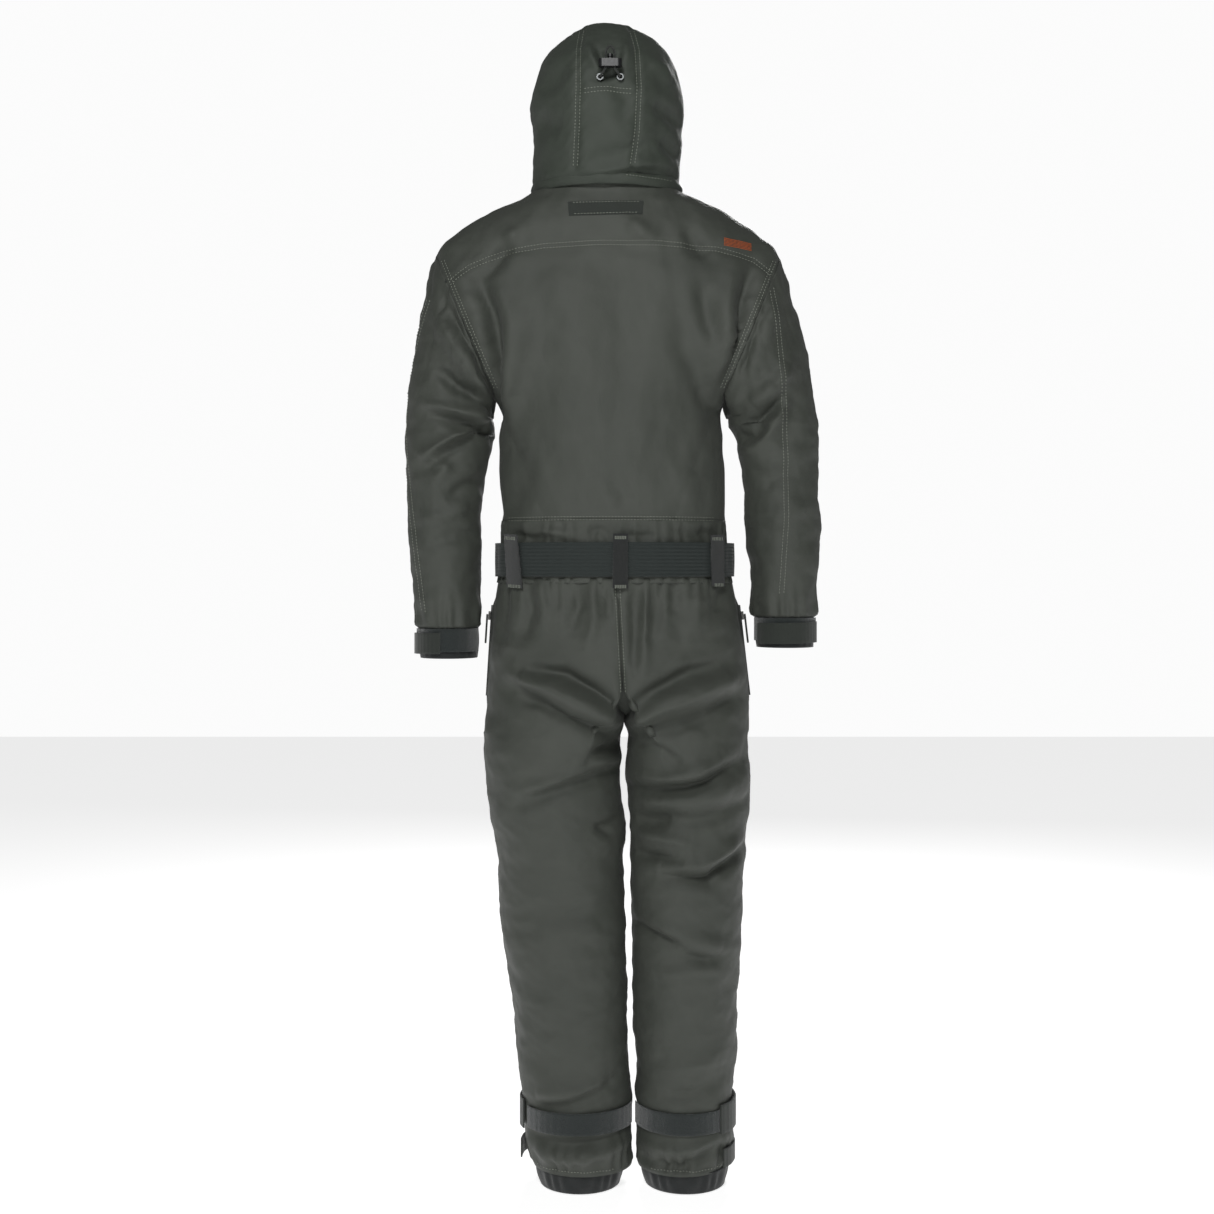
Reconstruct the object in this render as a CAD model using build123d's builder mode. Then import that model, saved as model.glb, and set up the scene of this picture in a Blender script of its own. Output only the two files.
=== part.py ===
# Padded, hooded one-piece coverall, hung up as if worn. Millimetres.
# The origin is in the hanger loop inside the back of the collar, +Z is up, the front faces -Y,
# and +X is the wearer's left. The suit leans a little: its middle shifts towards -X lower down.
import os
from math import cos, pi, radians, sin, tan

from build123d import *

os.makedirs("parts", exist_ok=True)

# Driving dimensions
wall = 7.0  # quilted shell
mid_y = -76.0  # middle of the neck, arms and legs, front to back
front_y = -192.0  # the front is straight below the shoulders, so that the zip is
lean_slope = 0.0257
shoulder_z = -98.0
yoke_z = -91.0
waist_seam_z = -485.0
band_low_z = -516.0
belt_high_z, belt_low_z = -519.0, -569.0
hip_z, hip_radius = -630.0, 140.0  # the leg turns about this line, inside this radius
hip_clearance = 0.6
leg_gap = 7.5
hem_z = -1472.0
hem_band_height = 30.0
calf_tape_high_z, calf_tape_height = -1349.0, 32.0
cuff_high_z, cuff_height = -636.0, 46.0
arm_drop = 8.0  # the left arm hangs this much lower than the middle, and the right higher
armhole_x, armhole_z, armhole_half = 212.0, -201.5, 112.0
armhole_tilt = 67.4  # between the armhole's outward normal and straight down, in degrees
zip_half = 5.0  # half the gap that the front zip fills
zip_high_z, zip_low_z = 26.0, -700.0
sides = (("left", 1), ("right", -1))
girth = {1: 1.055, -1: 0.945}


def lean(z):
    # Sideways shift of the body's middle at a height
    return lean_slope * min(0.0, z - shoulder_z)


def seam_x(z):
    # The line between the legs, which is a little further over than the middle
    share = min(1.0, max(0.0, (waist_seam_z - z) / 260))
    return lean(z) - 7 * share


def front_line(z):
    return front_y + 0.26 * max(0.0, z - shoulder_z)


def form(rings):
    # Solid lofted through ellipses: height, centre x, centre y, half width, half depth
    with BuildPart() as body:
        for z, x, y, half_width, half_depth in rings:
            with BuildSketch(Plane.XY.offset(z)):
                with Locations((x, y)):
                    Ellipse(half_width, half_depth)
        loft()
    return body.part


def inset(rings, distance):
    return [(z, x, y, a - distance, b - distance) for z, x, y, a, b in rings]


def wrap(ring, side, gaps, heights, angles):
    # Band that follows an ellipse for part of the way round; angle 0 is outermost, 90 is the back
    x, y, half_width, half_depth = ring
    steps = 8
    step = (angles[1] - angles[0]) / steps
    turns = [radians(angles[0] + step * i) for i in range(steps + 1)]
    fan = [(side * 400 * cos(t), 400 * sin(t)) for t in turns]
    if angles[1] - angles[0] < 360:
        fan.append((0, 0))
    with BuildPart() as band:
        with BuildSketch(Plane.XY.offset(heights[0])):
            with Locations((x, y)):
                Ellipse(half_width + gaps[1], half_depth + gaps[1])
                Ellipse(half_width + gaps[0], half_depth + gaps[0], mode=Mode.SUBTRACT)
                Polygon(*fan, align=None, mode=Mode.INTERSECT)
        extrude(amount=heights[1] - heights[0])
    return band.part


def armhole_plane(side):
    tilt = radians(armhole_tilt)
    centre = (side * armhole_x + lean(armhole_z), mid_y, armhole_z)
    return Plane(origin=centre, x_dir=(0, 1, 0), z_dir=(side * sin(tilt), 0, -cos(tilt)))


def save(block, label):
    block.part.label = label
    export_step(block.part, f"parts/{label}.step")


# Torso, from the neck hole to the hips: height, half width, half depth
torso_sections = (
    (4, 112, 90), (-8, 135, 92), (-26, 172, 97), (-62, 231, 106), (-98, 264, 112),
    (-150, 288, 118), (-210, 286, 121), (-260, 236, 122), (-305, 176, 122), (-365, 167, 120),
    (-425, 168, 117), (-485, 168, 114), (-545, 170, 114), (-605, 181, 119), (-665, 188, 124),
    (-725, 193, 125), (-780, 196, 124),
)
torso_rings = [(z, lean(z), front_line(z) + b, a, b) for z, a, b in torso_sections]
torso_outer = form(torso_rings)
torso_inner = form(inset(torso_rings, wall))
just_outside = form(inset(torso_rings, -0.5))
patch_face = form(inset(torso_rings, -2.5))
chain_back = form(inset(torso_rings, 4.0))
hip_y = -70.0

# Everything below the hip line and outside the round hip joint belongs to the legs
with BuildPart() as leg_space:
    with Locations((0, hip_y, hip_z - 250)):
        Box(700, 500, 500)
    with Locations(Location((0, hip_y, hip_z), (0, 90, 0))):
        Cylinder(hip_radius, 700, mode=Mode.SUBTRACT)


# The space outside each armhole plane belongs to the sleeves
arm_spaces = {}
for name, side in sides:
    with BuildPart(armhole_plane(side)) as arm_space:
        Box(500, 500, 400, align=(Align.CENTER, Align.CENTER, Align.MIN))
    arm_spaces[name] = arm_space.part


def keep_box(x_span, y_span, z_span):
    # Keeps only what lies inside these three spans
    spans = (x_span, y_span, z_span)
    with Locations(tuple((low + high) / 2 for low, high in spans)):
        Box(*(high - low for low, high in spans), mode=Mode.INTERSECT)


wide = (-400.0, 400.0)
back_span, front_span = (mid_y, 200.0), (-400.0, mid_y)
back_pieces = (
    ("back_yoke", (yoke_z, 4)), ("back_panel", (waist_seam_z, yoke_z)),
    ("waistband_back", (band_low_z, waist_seam_z)),
)
for name, heights in back_pieces:
    with BuildPart() as back_piece:
        add(torso_outer)
        keep_box(wide, back_span, heights)
        add(torso_inner, mode=Mode.SUBTRACT)
        for space in arm_spaces.values():
            add(space, mode=Mode.SUBTRACT)
    save(back_piece, name)

side_spans = {"left": (zip_half, 400.0), "right": (-400.0, -zip_half)}
for name, side in sides:
    with BuildPart() as front_panel:
        add(torso_outer)
        keep_box(side_spans[name], front_span, (band_low_z, 4))
        add(torso_inner, mode=Mode.SUBTRACT)
        add(arm_spaces[name], mode=Mode.SUBTRACT)
    save(front_panel, f"front_{name}_panel")

centre_x = seam_x(-650)
seat_spans = {"left": (centre_x, 400.0), "right": (-400.0, centre_x)}
for name, side in sides:
    with BuildPart() as seat:
        add(torso_outer)
        keep_box(seat_spans[name], wide, (-779, band_low_z))
        add(torso_inner, mode=Mode.SUBTRACT)
        add(leg_space.part, mode=Mode.SUBTRACT)
        with Locations((0, front_y, (band_low_z + zip_low_z) / 2)):
            Box(2 * zip_half, 120, band_low_z - zip_low_z, mode=Mode.SUBTRACT)
    save(seat, f"seat_{name}")

gusset_half = 22.0
with BuildPart() as crotch_gusset:
    with Locations(Location((seam_x(-770), hip_y, hip_z), (0, 90, 0))):
        Cylinder(hip_radius - 0.5, 2 * gusset_half)
        Cylinder(hip_radius - 9, 2 * gusset_half, mode=Mode.SUBTRACT)
    keep_box(wide, wide, (hip_z - 200, hip_z - 90))
save(crotch_gusset, "crotch_gusset")

# Neck: stand collar, hanger loop and the stitched patch below it
collar_high_z, collar_low_z = 30.0, 5.0
collar_rings = [(z, 0, mid_y, 100, 86) for z in (collar_low_z, collar_high_z)]
collar_outer = form(collar_rings)
collar_inner = form(inset(collar_rings, 6))
with BuildPart() as collar:
    add(collar_outer)
    add(collar_inner, mode=Mode.SUBTRACT)
    with Locations((0, mid_y - 86, (collar_high_z + collar_low_z) / 2)):
        Box(2 * zip_half, 30, 60, mode=Mode.SUBTRACT)
save(collar, "collar")

loop_wall, loop_height, loop_stand = 1.4, 10.0, 4.5
with BuildPart() as hanger_loop:
    with BuildSketch(Plane.XY.offset(8)):
        with BuildLine():
            Polyline((-27, 0.2), (-19, -loop_stand), (19, -loop_stand), (27, 0.2), (28, -1.2),
                     (19.6, -loop_stand - loop_wall), (-19.6, -loop_stand - loop_wall), (-28, -1.2),
                     close=True)
        make_face()
    extrude(amount=loop_height)
save(hanger_loop, "hanger_loop")

patch_half, patch_height, patch_low_z = 53.0, 20.0, -46.0
with BuildPart() as neck_patch:
    add(patch_face)
    keep_box((-patch_half, patch_half), back_span, (patch_low_z, patch_low_z + patch_height))
    add(just_outside, mode=Mode.SUBTRACT)
save(neck_patch, "neck_patch")

# Belt: elastic webbing, five loops, and a lever buckle at the front
buckle_half, buckle_height, buckle_y = 26.0, 54.0, front_y - 3.0
belt_middle_z = (belt_high_z + belt_low_z) / 2
belt_ring = (lean(belt_middle_z), front_y + 115, 176.5, 119)
belt_wall = 3.0
with BuildPart() as belt:
    add(wrap(belt_ring, 1, (0, belt_wall), (belt_low_z, belt_high_z), (0, 360)))
    with Locations((0, front_y, belt_middle_z)):
        Box(2 * buckle_half + 1, 60, 60, mode=Mode.SUBTRACT)
save(belt, "belt")

belt_loop_strips = [
    wrap(belt_ring, 1, (belt_wall + 0.8, belt_wall + 2.6), (belt_low_z - 14, belt_high_z + 8),
         (angle - 4.5, angle + 4.5))
    for angle in (90, 22, 158, -48, -132)
]
with BuildPart() as belt_loops:
    add(belt_loop_strips)
save(belt_loops, "belt_loops")

with BuildPart() as buckle_frame:
    with BuildSketch(Plane.XZ.offset(-buckle_y)):
        with Locations((0, belt_middle_z)):
            RectangleRounded(2 * buckle_half, buckle_height, 6)
            with Locations((13, 0)):
                RectangleRounded(14, buckle_height - 12, 2, mode=Mode.SUBTRACT)
    extrude(amount=5)
save(buckle_frame, "buckle_frame")

with BuildPart() as buckle_lever:
    with BuildSketch(Plane.XZ.offset(-buckle_y + 5.6)):
        with Locations((-2, belt_middle_z)):
            RectangleRounded(36, buckle_height - 10, 5)
    extrude(amount=3)
    fillet(buckle_lever.edges().group_by(Axis.Y)[0], radius=1)
save(buckle_lever, "buckle_lever")
buckle_pivot = (-19.0, buckle_y - 7.1, belt_middle_z)

# Front zip: the chain fills the gap, and the slider runs straight down the front
with BuildPart() as zip_chain:
    add(torso_outer)
    keep_box((0.3 - zip_half, zip_half - 0.3), front_span, (zip_low_z, 0))
    add(chain_back, mode=Mode.SUBTRACT)
save(zip_chain, "zip_chain")

slider_z = -112.0
with BuildPart() as zip_slider:
    with BuildSketch(Plane.XZ.offset(-front_y + 2.2)):
        with BuildLine():
            Polyline((-6.5, slider_z + 7), (6.5, slider_z + 7), (4.5, slider_z - 9),
                     (-4.5, slider_z - 9), close=True)
        make_face()
    extrude(amount=3.6)
    fillet(zip_slider.edges().filter_by(Axis.Y), radius=1.5)
save(zip_slider, "zip_slider")

with BuildPart() as zip_pull:
    with BuildSketch(Plane.XZ.offset(-front_y + 6.2)):
        with Locations((0, slider_z - 17)):
            SlotOverall(34, 7, rotation=90)
        with Locations((0, slider_z - 29)):
            Circle(1.6, mode=Mode.SUBTRACT)
    extrude(amount=1.4)
save(zip_pull, "zip_pull")

# Storm flap over the zip: a padded strip on each side of the chain, and a flap with press studs
flap_high_z, flap_low_z, flap_half, guard_depth = -156.0, -505.0, 29.0, 7.5
for name, side in sides:
    with BuildPart() as guard:
        with Locations((side * 19, front_y - 1.6 - guard_depth / 2, (flap_high_z + flap_low_z) / 2)):
            Box(20, guard_depth, flap_high_z - flap_low_z)
        fillet(guard.edges().filter_by(Axis.Z), radius=2)
    save(guard, f"zip_guard_{name}")

flap_y = front_y - 1.6 - guard_depth - 1.2
with BuildPart() as storm_flap:
    with Locations((0, flap_y - 1.25, (flap_high_z + flap_low_z) / 2)):
        Box(2 * flap_half, 2.5, flap_high_z - flap_low_z)
    fillet(storm_flap.edges().filter_by(Axis.Y), radius=8)
save(storm_flap, "storm_flap")

stud_heights = [flap_high_z - 24 - 75 * i for i in range(5)]
with BuildPart() as press_studs:
    for z in stud_heights:
        with BuildSketch(Plane.XZ.offset(-flap_y + 2.6)):
            with Locations((-19, z)):
                Circle(6.5)
        extrude(amount=1.8)
save(press_studs, "press_studs")

# Hip pocket zips down the side seams, each with a slider and a cord puller
pocket_slider_z, pocket_y, pocket_length = -628.0, -88.0, 136.0
for name, side in sides:
    slope = 0.088 - side * lean_slope
    face_x = lean(pocket_slider_z) + side * 185.2
    run = Plane(origin=(face_x, pocket_y, pocket_slider_z), x_dir=(0, side, 0),
                z_dir=(side, 0, slope))
    with BuildPart() as pocket_zip:
        with BuildSketch(run.offset(1.8)):
            with Locations((0, 16 - pocket_length / 2)):
                Rectangle(16, pocket_length)
        extrude(amount=1.4)
    save(pocket_zip, f"pocket_zip_{name}")
    with BuildPart() as pocket_slider:
        with BuildSketch(run.offset(3.8)):
            RectangleRounded(8, 13, 2)
        extrude(amount=3.2)
    save(pocket_slider, f"pocket_slider_{name}")
    with BuildPart() as pocket_puller:
        with BuildSketch(run.offset(7.6)):
            with Locations((0, -20)):
                RectangleRounded(6, 44, 2.8)
        extrude(amount=2.6)
    save(pocket_puller, f"pocket_puller_{name}")
    pivot = run.offset(8.9).origin
    print(f"pocket {name}: pivot", [round(v, 2) for v in pivot], "down", -run.y_dir)

# Hood: three panels, open at the face and sewn on round the outside of the collar
hood_low_z, hood_wall = 4.7, 6.0
hood_sections = (
    (hood_low_z, 110, 98, 22), (40, 110, 108, 40), (90, 112, 122, 52), (127, 117, 128, 56),
    (160, 111, 126, 52), (190, 101, 116, 42), (214, 84, 96, 24), (232, 62, 70, 0),
    (243, 34, 38, -32), (246, 8, 9, -61),
)
hood_rings = [(z, 0, back - b, a, b) for z, a, b, back in hood_sections]


def hood_inset(distance):
    # The crown comes down with the walls as they come in
    return [(z - distance * max(0.0, (z - 160) / 86), x, y, a - distance, b - distance)
            for z, x, y, a, b in hood_rings]


hood_outer = form(hood_rings)
hood_inner = form(hood_inset(hood_wall))
hood_face_y, hood_panel_half = -150.0, 40.0
eyelet_z, eyelet_xs, eyelet_hole = 143.0, (10.0, -19.0), 5.3
hood_panels = (
    ("left", (hood_panel_half, 200.0)), ("centre", (-hood_panel_half, hood_panel_half)),
    ("right", (-200.0, -hood_panel_half)),
)
for name, span in hood_panels:
    with BuildPart() as hood_panel:
        add(hood_outer)
        keep_box(span, (hood_face_y, 200.0), (hood_low_z, 250))
        add(hood_inner, mode=Mode.SUBTRACT)
        if name == "centre":
            with BuildSketch(Plane.XZ.offset(-80)):
                with Locations(*((x, eyelet_z) for x in eyelet_xs)):
                    Circle(eyelet_hole)
            extrude(amount=70, mode=Mode.SUBTRACT)
    save(hood_panel, f"hood_{name}")

with BuildPart() as hood_eyelets:
    with BuildSketch(Plane.XZ.offset(-57.5)):
        with Locations(*((x, eyelet_z) for x in eyelet_xs)):
            Circle(eyelet_hole - 0.3)
            Circle(3.0, mode=Mode.SUBTRACT)
    extrude(amount=9.5)
save(hood_eyelets, "hood_eyelets")

# Cord lock: a barrel on two strands of elastic cord, with a push button on top
lock_x, lock_y, lock_z, cord_radius, strand_half = -4.5, 65.5, 160.0, 1.5, 6.0
with BuildPart() as cord_lock_body:
    with BuildSketch(Plane.XY.offset(lock_z - 5.5)):
        with Locations((lock_x, lock_y)):
            SlotOverall(33, 12)
            with Locations((-strand_half, 0), (strand_half, 0)):
                Circle(cord_radius + 0.35, mode=Mode.SUBTRACT)
    extrude(amount=11)
    with Locations((lock_x, lock_y, lock_z + 2)):
        Cylinder(3.0, 8, mode=Mode.SUBTRACT)
save(cord_lock_body, "cord_lock_body")

with BuildPart() as cord_lock_button:
    with Locations((lock_x, lock_y, lock_z + 6.0)):
        Cylinder(2.6, 6)
    with Locations((lock_x, lock_y, lock_z + 10.8)):
        Cylinder(4.0, 3.6)
save(cord_lock_button, "cord_lock_button")

# The cord comes out of one eyelet, up through the lock, round its loop and back to the other
strand_xs = (lock_x + strand_half, lock_x - strand_half)
cord_points = (
    (eyelet_xs[0], 46.0, eyelet_z), (eyelet_xs[0] - 0.6, 64.0, eyelet_z + 1.0),
    (strand_xs[0], lock_y, lock_z - 8), (strand_xs[0], lock_y, lock_z + 7),
    (strand_xs[0] + 0.6, lock_y + 0.5, lock_z + 17), (lock_x, lock_y, lock_z + 26),
    (strand_xs[1] - 0.6, lock_y - 0.5, lock_z + 17), (strand_xs[1], lock_y, lock_z + 7),
    (strand_xs[1], lock_y, lock_z - 8), (eyelet_xs[1] + 0.6, 64.0, eyelet_z + 1.0),
    (eyelet_xs[1], 46.0, eyelet_z),
)


def bend_radii(points):
    # Each corner's arc is as large as its two runs allow
    radii = []
    for before, here, after in zip(points, points[1:], points[2:]):
        first, second = Vector(*here) - Vector(*before), Vector(*after) - Vector(*here)
        half_turn = radians(first.get_angle(second) / 2)
        radii.append(0.45 * min(first.length, second.length) / tan(half_turn))
    return radii


radii = bend_radii(cord_points)
cord_path = FilletPolyline(*cord_points, radius=radii)
print("hood cord radii", [round(r, 1) for r in radii])
with BuildPart() as hood_cord:
    with BuildLine():
        add(cord_path)
    with BuildSketch(Plane(origin=cord_path @ 0, z_dir=cord_path % 0)):
        Circle(cord_radius)
    sweep()
print("hood cord length", round(cord_path.length, 1), "volume ratio",
      round(hood_cord.part.volume / (cord_path.length * pi * cord_radius**2), 4))
save(hood_cord, "hood_cord")

# Sleeves and cuffs: height, x out from the body's middle, half width, half depth
arm_sections = (
    (-97, 212, 46, 24), (-125, 195, 72, 50), (-185, 190, 93, 68), (-245, 202, 95, 75),
    (-305, 223, 83, 76), (-340, 239, 69.5, 73), (-395, 248, 61, 68), (-450, 253, 57, 64),
    (-520, 253.5, 55, 60), (-580, 253, 50, 56), (cuff_high_z, 252, 46, 52),
)
cuff_sections = ((cuff_high_z, 252, 45, 51), (cuff_high_z - cuff_height, 252, 43, 49))
tab_angles = {"left": (-30, 82), "right": (22, 150)}


def arm_rings(sections, side):
    rings = []
    for z, x, a, b in sections:
        drop = side * arm_drop if z < -300 else 0.0
        rings.append((z - drop, side * x + lean(z), mid_y, a, b))
    return rings


for name, side in sides:
    rings = arm_rings(arm_sections, side)
    sleeve_outer = form(rings)
    sleeve_inner = form(inset(rings, wall))
    with BuildPart(armhole_plane(side).offset(0.6)) as beyond_armhole:
        Box(600, 600, 900, align=(Align.CENTER, Align.CENTER, Align.MIN))
    with BuildPart() as sleeve:
        add(sleeve_outer)
        add(beyond_armhole.part, mode=Mode.INTERSECT)
        add(sleeve_inner, mode=Mode.SUBTRACT)
    save(sleeve, f"sleeve_{name}")

    cuff_outer = form(arm_rings(cuff_sections, side))
    cuff_inner = form(inset(arm_rings(cuff_sections, side), 5))
    with BuildPart() as cuff:
        add(cuff_outer)
        add(cuff_inner, mode=Mode.SUBTRACT)
    save(cuff, f"cuff_{name}")

    high_z = cuff_high_z - side * arm_drop
    wrist = (side * 252 + lean(cuff_high_z), mid_y, 45, 51)
    tape = wrap(wrist, side, (0.7, 2.1), (high_z - 36, high_z - 2), (10, 170))
    with BuildPart() as cuff_tape:
        add(tape)
    save(cuff_tape, f"cuff_tape_{name}")
    tab = wrap(wrist, side, (2.7, 5.7), (high_z - 40, high_z - 8), tab_angles[name])
    with BuildPart() as cuff_tab:
        add(tab)
    save(cuff_tab, f"cuff_tab_{name}")
    turn = radians(max(tab_angles[name]))
    print(f"cuff tab {name}: pivot", round(wrist[0] + side * 47.7 * cos(turn), 2),
          round(mid_y + 53.7 * sin(turn), 2))

# Legs: height, half width, half depth; each is a little over half a gap from the line between them
leg_sections = (
    (-640, 97, 114), (-700, 97, 114), (-777, 97.5, 112), (-904, 96, 104), (-994, 90.4, 96),
    (-1084, 88.5, 92), (-1204, 82.5, 86), (-1294, 79.5, 80), (-1354, 76, 77), (-1414, 74.6, 75),
    (-1442, 70, 71),
)
leg_ys = {-640: hip_y, -700: hip_y + 1, -777: hip_y + 2}
calf_tape_angles = {"left": (27, 172), "right": (12, 172)}
calf_tab_angles = {"left": (-55, 22), "right": (-20, 48)}
hem_tab_angles = {"left": (-60, 5), "right": (-5, 42)}


def leg_rings(side, sections=leg_sections):
    rings = []
    for z, a, b in sections:
        width = a * girth[side]
        rings.append((z, seam_x(z) + side * (width + leg_gap / 2), leg_ys.get(z, mid_y + 6), width, b))
    return rings


with BuildPart() as hip_round:
    with Locations(Location((0, hip_y, hip_z), (0, 90, 0))):
        Cylinder(hip_radius + hip_clearance, 900)

for name, side in sides:
    rings = leg_rings(side)
    leg_outer = form(rings)
    leg_inner = form(inset(rings, wall))
    with BuildPart() as leg:
        add(leg_outer)
        add(leg_inner, mode=Mode.SUBTRACT)
        add(hip_round.part, mode=Mode.SUBTRACT)
        keep_box(wide, wide, (-1442, hip_z - 2))
    save(leg, f"leg_{name}")

    ankle = ((hem_z + hem_band_height, 66, 67), (hem_z, 60, 62))
    ankle_rings = [(z, seam_x(z) + side * (74.6 * girth[side] + leg_gap / 2), mid_y + 6, a, b)
                   for z, a, b in ankle]
    hem_outer = form(ankle_rings)
    hem_inner = form(inset(ankle_rings, 5))
    with BuildPart() as hem_band:
        add(hem_outer)
        add(hem_inner, mode=Mode.SUBTRACT)
    save(hem_band, f"hem_band_{name}")

    calf_x = seam_x(-1365) + side * (76 * girth[side] + leg_gap / 2)
    calf = (calf_x, mid_y + 6, 76 * girth[side], 77)
    low_z = calf_tape_high_z - calf_tape_height
    tape = wrap(calf, side, (1.0, 2.4), (low_z, calf_tape_high_z), calf_tape_angles[name])
    with BuildPart() as calf_tape:
        add(tape)
    save(calf_tape, f"calf_tape_{name}")
    tab = wrap(calf, side, (3.0, 6.0), (low_z - 4, calf_tape_high_z + 8), calf_tab_angles[name])
    with BuildPart() as calf_tab:
        add(tab)
    save(calf_tab, f"calf_tab_{name}")
    turn = radians(max(calf_tab_angles[name]))
    print(f"calf tab {name}: pivot", round(calf_x + side * (calf[2] + 3.0) * cos(turn), 2),
          round(calf[1] + (calf[3] + 3.0) * sin(turn), 2))

    tab = wrap(calf, side, (1.6, 4.6), (-1436, -1408), hem_tab_angles[name])
    with BuildPart() as hem_tab:
        add(tab)
    save(hem_tab, f"hem_tab_{name}")
    turn = radians(max(hem_tab_angles[name]))
    print(f"hem tab {name}: pivot", round(calf_x + side * (calf[2] + 1.6) * cos(turn), 2),
          round(calf[1] + (calf[3] + 1.6) * sin(turn), 2))
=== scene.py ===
from math import cos, pi, radians, sin

import bmesh
import bpy
import numpy as np
from mathutils import Matrix, Vector, noise
from mathutils.bvhtree import BVHTree


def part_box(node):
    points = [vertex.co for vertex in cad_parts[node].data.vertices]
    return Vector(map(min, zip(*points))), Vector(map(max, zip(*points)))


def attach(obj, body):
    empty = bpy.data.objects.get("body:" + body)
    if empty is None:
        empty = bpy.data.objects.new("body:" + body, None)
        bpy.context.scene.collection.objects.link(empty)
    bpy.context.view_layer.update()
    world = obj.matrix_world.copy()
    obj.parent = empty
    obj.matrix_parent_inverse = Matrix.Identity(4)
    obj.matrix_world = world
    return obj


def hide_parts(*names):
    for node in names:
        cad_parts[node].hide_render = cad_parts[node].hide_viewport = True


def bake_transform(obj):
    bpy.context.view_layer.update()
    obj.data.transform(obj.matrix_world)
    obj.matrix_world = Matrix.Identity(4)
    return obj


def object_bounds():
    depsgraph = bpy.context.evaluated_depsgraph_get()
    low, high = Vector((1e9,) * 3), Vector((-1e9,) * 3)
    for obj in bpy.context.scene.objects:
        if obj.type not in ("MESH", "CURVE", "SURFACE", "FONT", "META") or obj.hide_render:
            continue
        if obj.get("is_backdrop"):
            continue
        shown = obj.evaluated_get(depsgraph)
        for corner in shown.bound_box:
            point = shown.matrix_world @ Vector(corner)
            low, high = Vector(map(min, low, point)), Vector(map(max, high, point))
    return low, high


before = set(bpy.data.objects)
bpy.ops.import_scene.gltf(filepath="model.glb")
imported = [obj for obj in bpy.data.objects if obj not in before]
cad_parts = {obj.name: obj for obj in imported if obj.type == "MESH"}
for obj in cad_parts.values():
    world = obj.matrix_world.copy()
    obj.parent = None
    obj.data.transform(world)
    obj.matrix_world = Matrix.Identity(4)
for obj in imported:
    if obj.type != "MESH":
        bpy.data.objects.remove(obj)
cadLow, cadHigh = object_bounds()
print("frame loaded", len(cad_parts), "nodes")

# The suit in metres: front towards -Y, wearer's left towards +X, origin in the hanger loop
suit = {
    "midY": -0.076, "frontY": -0.192, "leanSlope": 0.0257, "shoulderZ": -0.098, "waistZ": -0.485,
    "hipY": -0.07, "legLowZ": -1.4435, "legGap": 0.0075, "wall": 0.0045,
}
girth = {1: 1.055, -1: 0.945}
sideNames = {1: "left", -1: "right"}


def lean(z):
    return suit["leanSlope"] * np.minimum(0.0, np.asarray(z) - suit["shoulderZ"])


def seamX(z):
    share = np.clip((suit["waistZ"] - np.asarray(z)) / 0.26, 0, 1)
    return lean(z) - 0.007 * share


def frontLine(z):
    return suit["frontY"] + 0.26 * np.maximum(0.0, np.asarray(z) - suit["shoulderZ"])


def easeStep(t):
    t = np.clip(t, 0, 1)
    return t * t * (3 - 2 * t)


def curveThrough(table, at):
    # Smooth values between the rows of a table whose first column falls or rises steadily
    rows = np.array(table, float)
    if rows[0, 0] > rows[-1, 0]:
        rows = rows[::-1]
    keys, values = rows[:, 0], rows[:, 1:]
    slopes = np.gradient(values, keys, axis=0)
    at = np.clip(np.asarray(at, float), keys[0], keys[-1])
    i = np.clip(np.searchsorted(keys, at) - 1, 0, len(keys) - 2)
    span = keys[i + 1] - keys[i]
    t = ((at - keys[i]) / span)[..., None]
    span = span[..., None]
    return ((2 * t**3 - 3 * t**2 + 1) * values[i] + (t**3 - 2 * t**2 + t) * span * slopes[i]
            + (3 * t**2 - 2 * t**3) * values[i + 1] + (t**3 - t**2) * span * slopes[i + 1])


# Helpers that build and move meshes
def newPiece(name, bm):
    mesh = bpy.data.meshes.new(name)
    bm.to_mesh(mesh)
    bm.free()
    mesh.polygons.foreach_set("use_smooth", [True] * len(mesh.polygons))
    piece = bpy.data.objects.new(name, mesh)
    bpy.context.scene.collection.objects.link(piece)
    return piece


def coords(piece):
    flat = np.empty(len(piece.data.vertices) * 3)
    piece.data.vertices.foreach_get("co", flat)
    return flat.reshape(-1, 3)


def normals(piece):
    flat = np.empty(len(piece.data.vertices) * 3)
    piece.data.vertices.foreach_get("normal", flat)
    return flat.reshape(-1, 3)


def moveTo(piece, points):
    piece.data.vertices.foreach_set("co", np.asarray(points, float).ravel())
    piece.data.update()


def gridPiece(name, across, down, place):
    # A grid whose vertices go where place(u, v) says; edges that meet are merged
    bm = bmesh.new()
    bmesh.ops.create_grid(bm, x_segments=across, y_segments=down, size=1)
    points = np.array([v.co for v in bm.verts])
    for vertex, point in zip(bm.verts, place((points[:, 0] + 1) / 2, (points[:, 1] + 1) / 2)):
        vertex.co = point
    bmesh.ops.remove_doubles(bm, verts=bm.verts, dist=0.00002)
    bmesh.ops.recalc_face_normals(bm, faces=bm.faces)
    return newPiece(name, bm)


def turnOut(piece, centre):
    # Faces point away from the piece's own middle line
    bm = bmesh.new()
    bm.from_mesh(piece.data)
    away = sum(f.normal.dot(f.calc_center_median() - Vector(centre)) * f.calc_area() for f in bm.faces)
    if away < 0:
        bmesh.ops.reverse_faces(bm, faces=bm.faces)
    bm.to_mesh(piece.data)
    bm.free()


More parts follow.
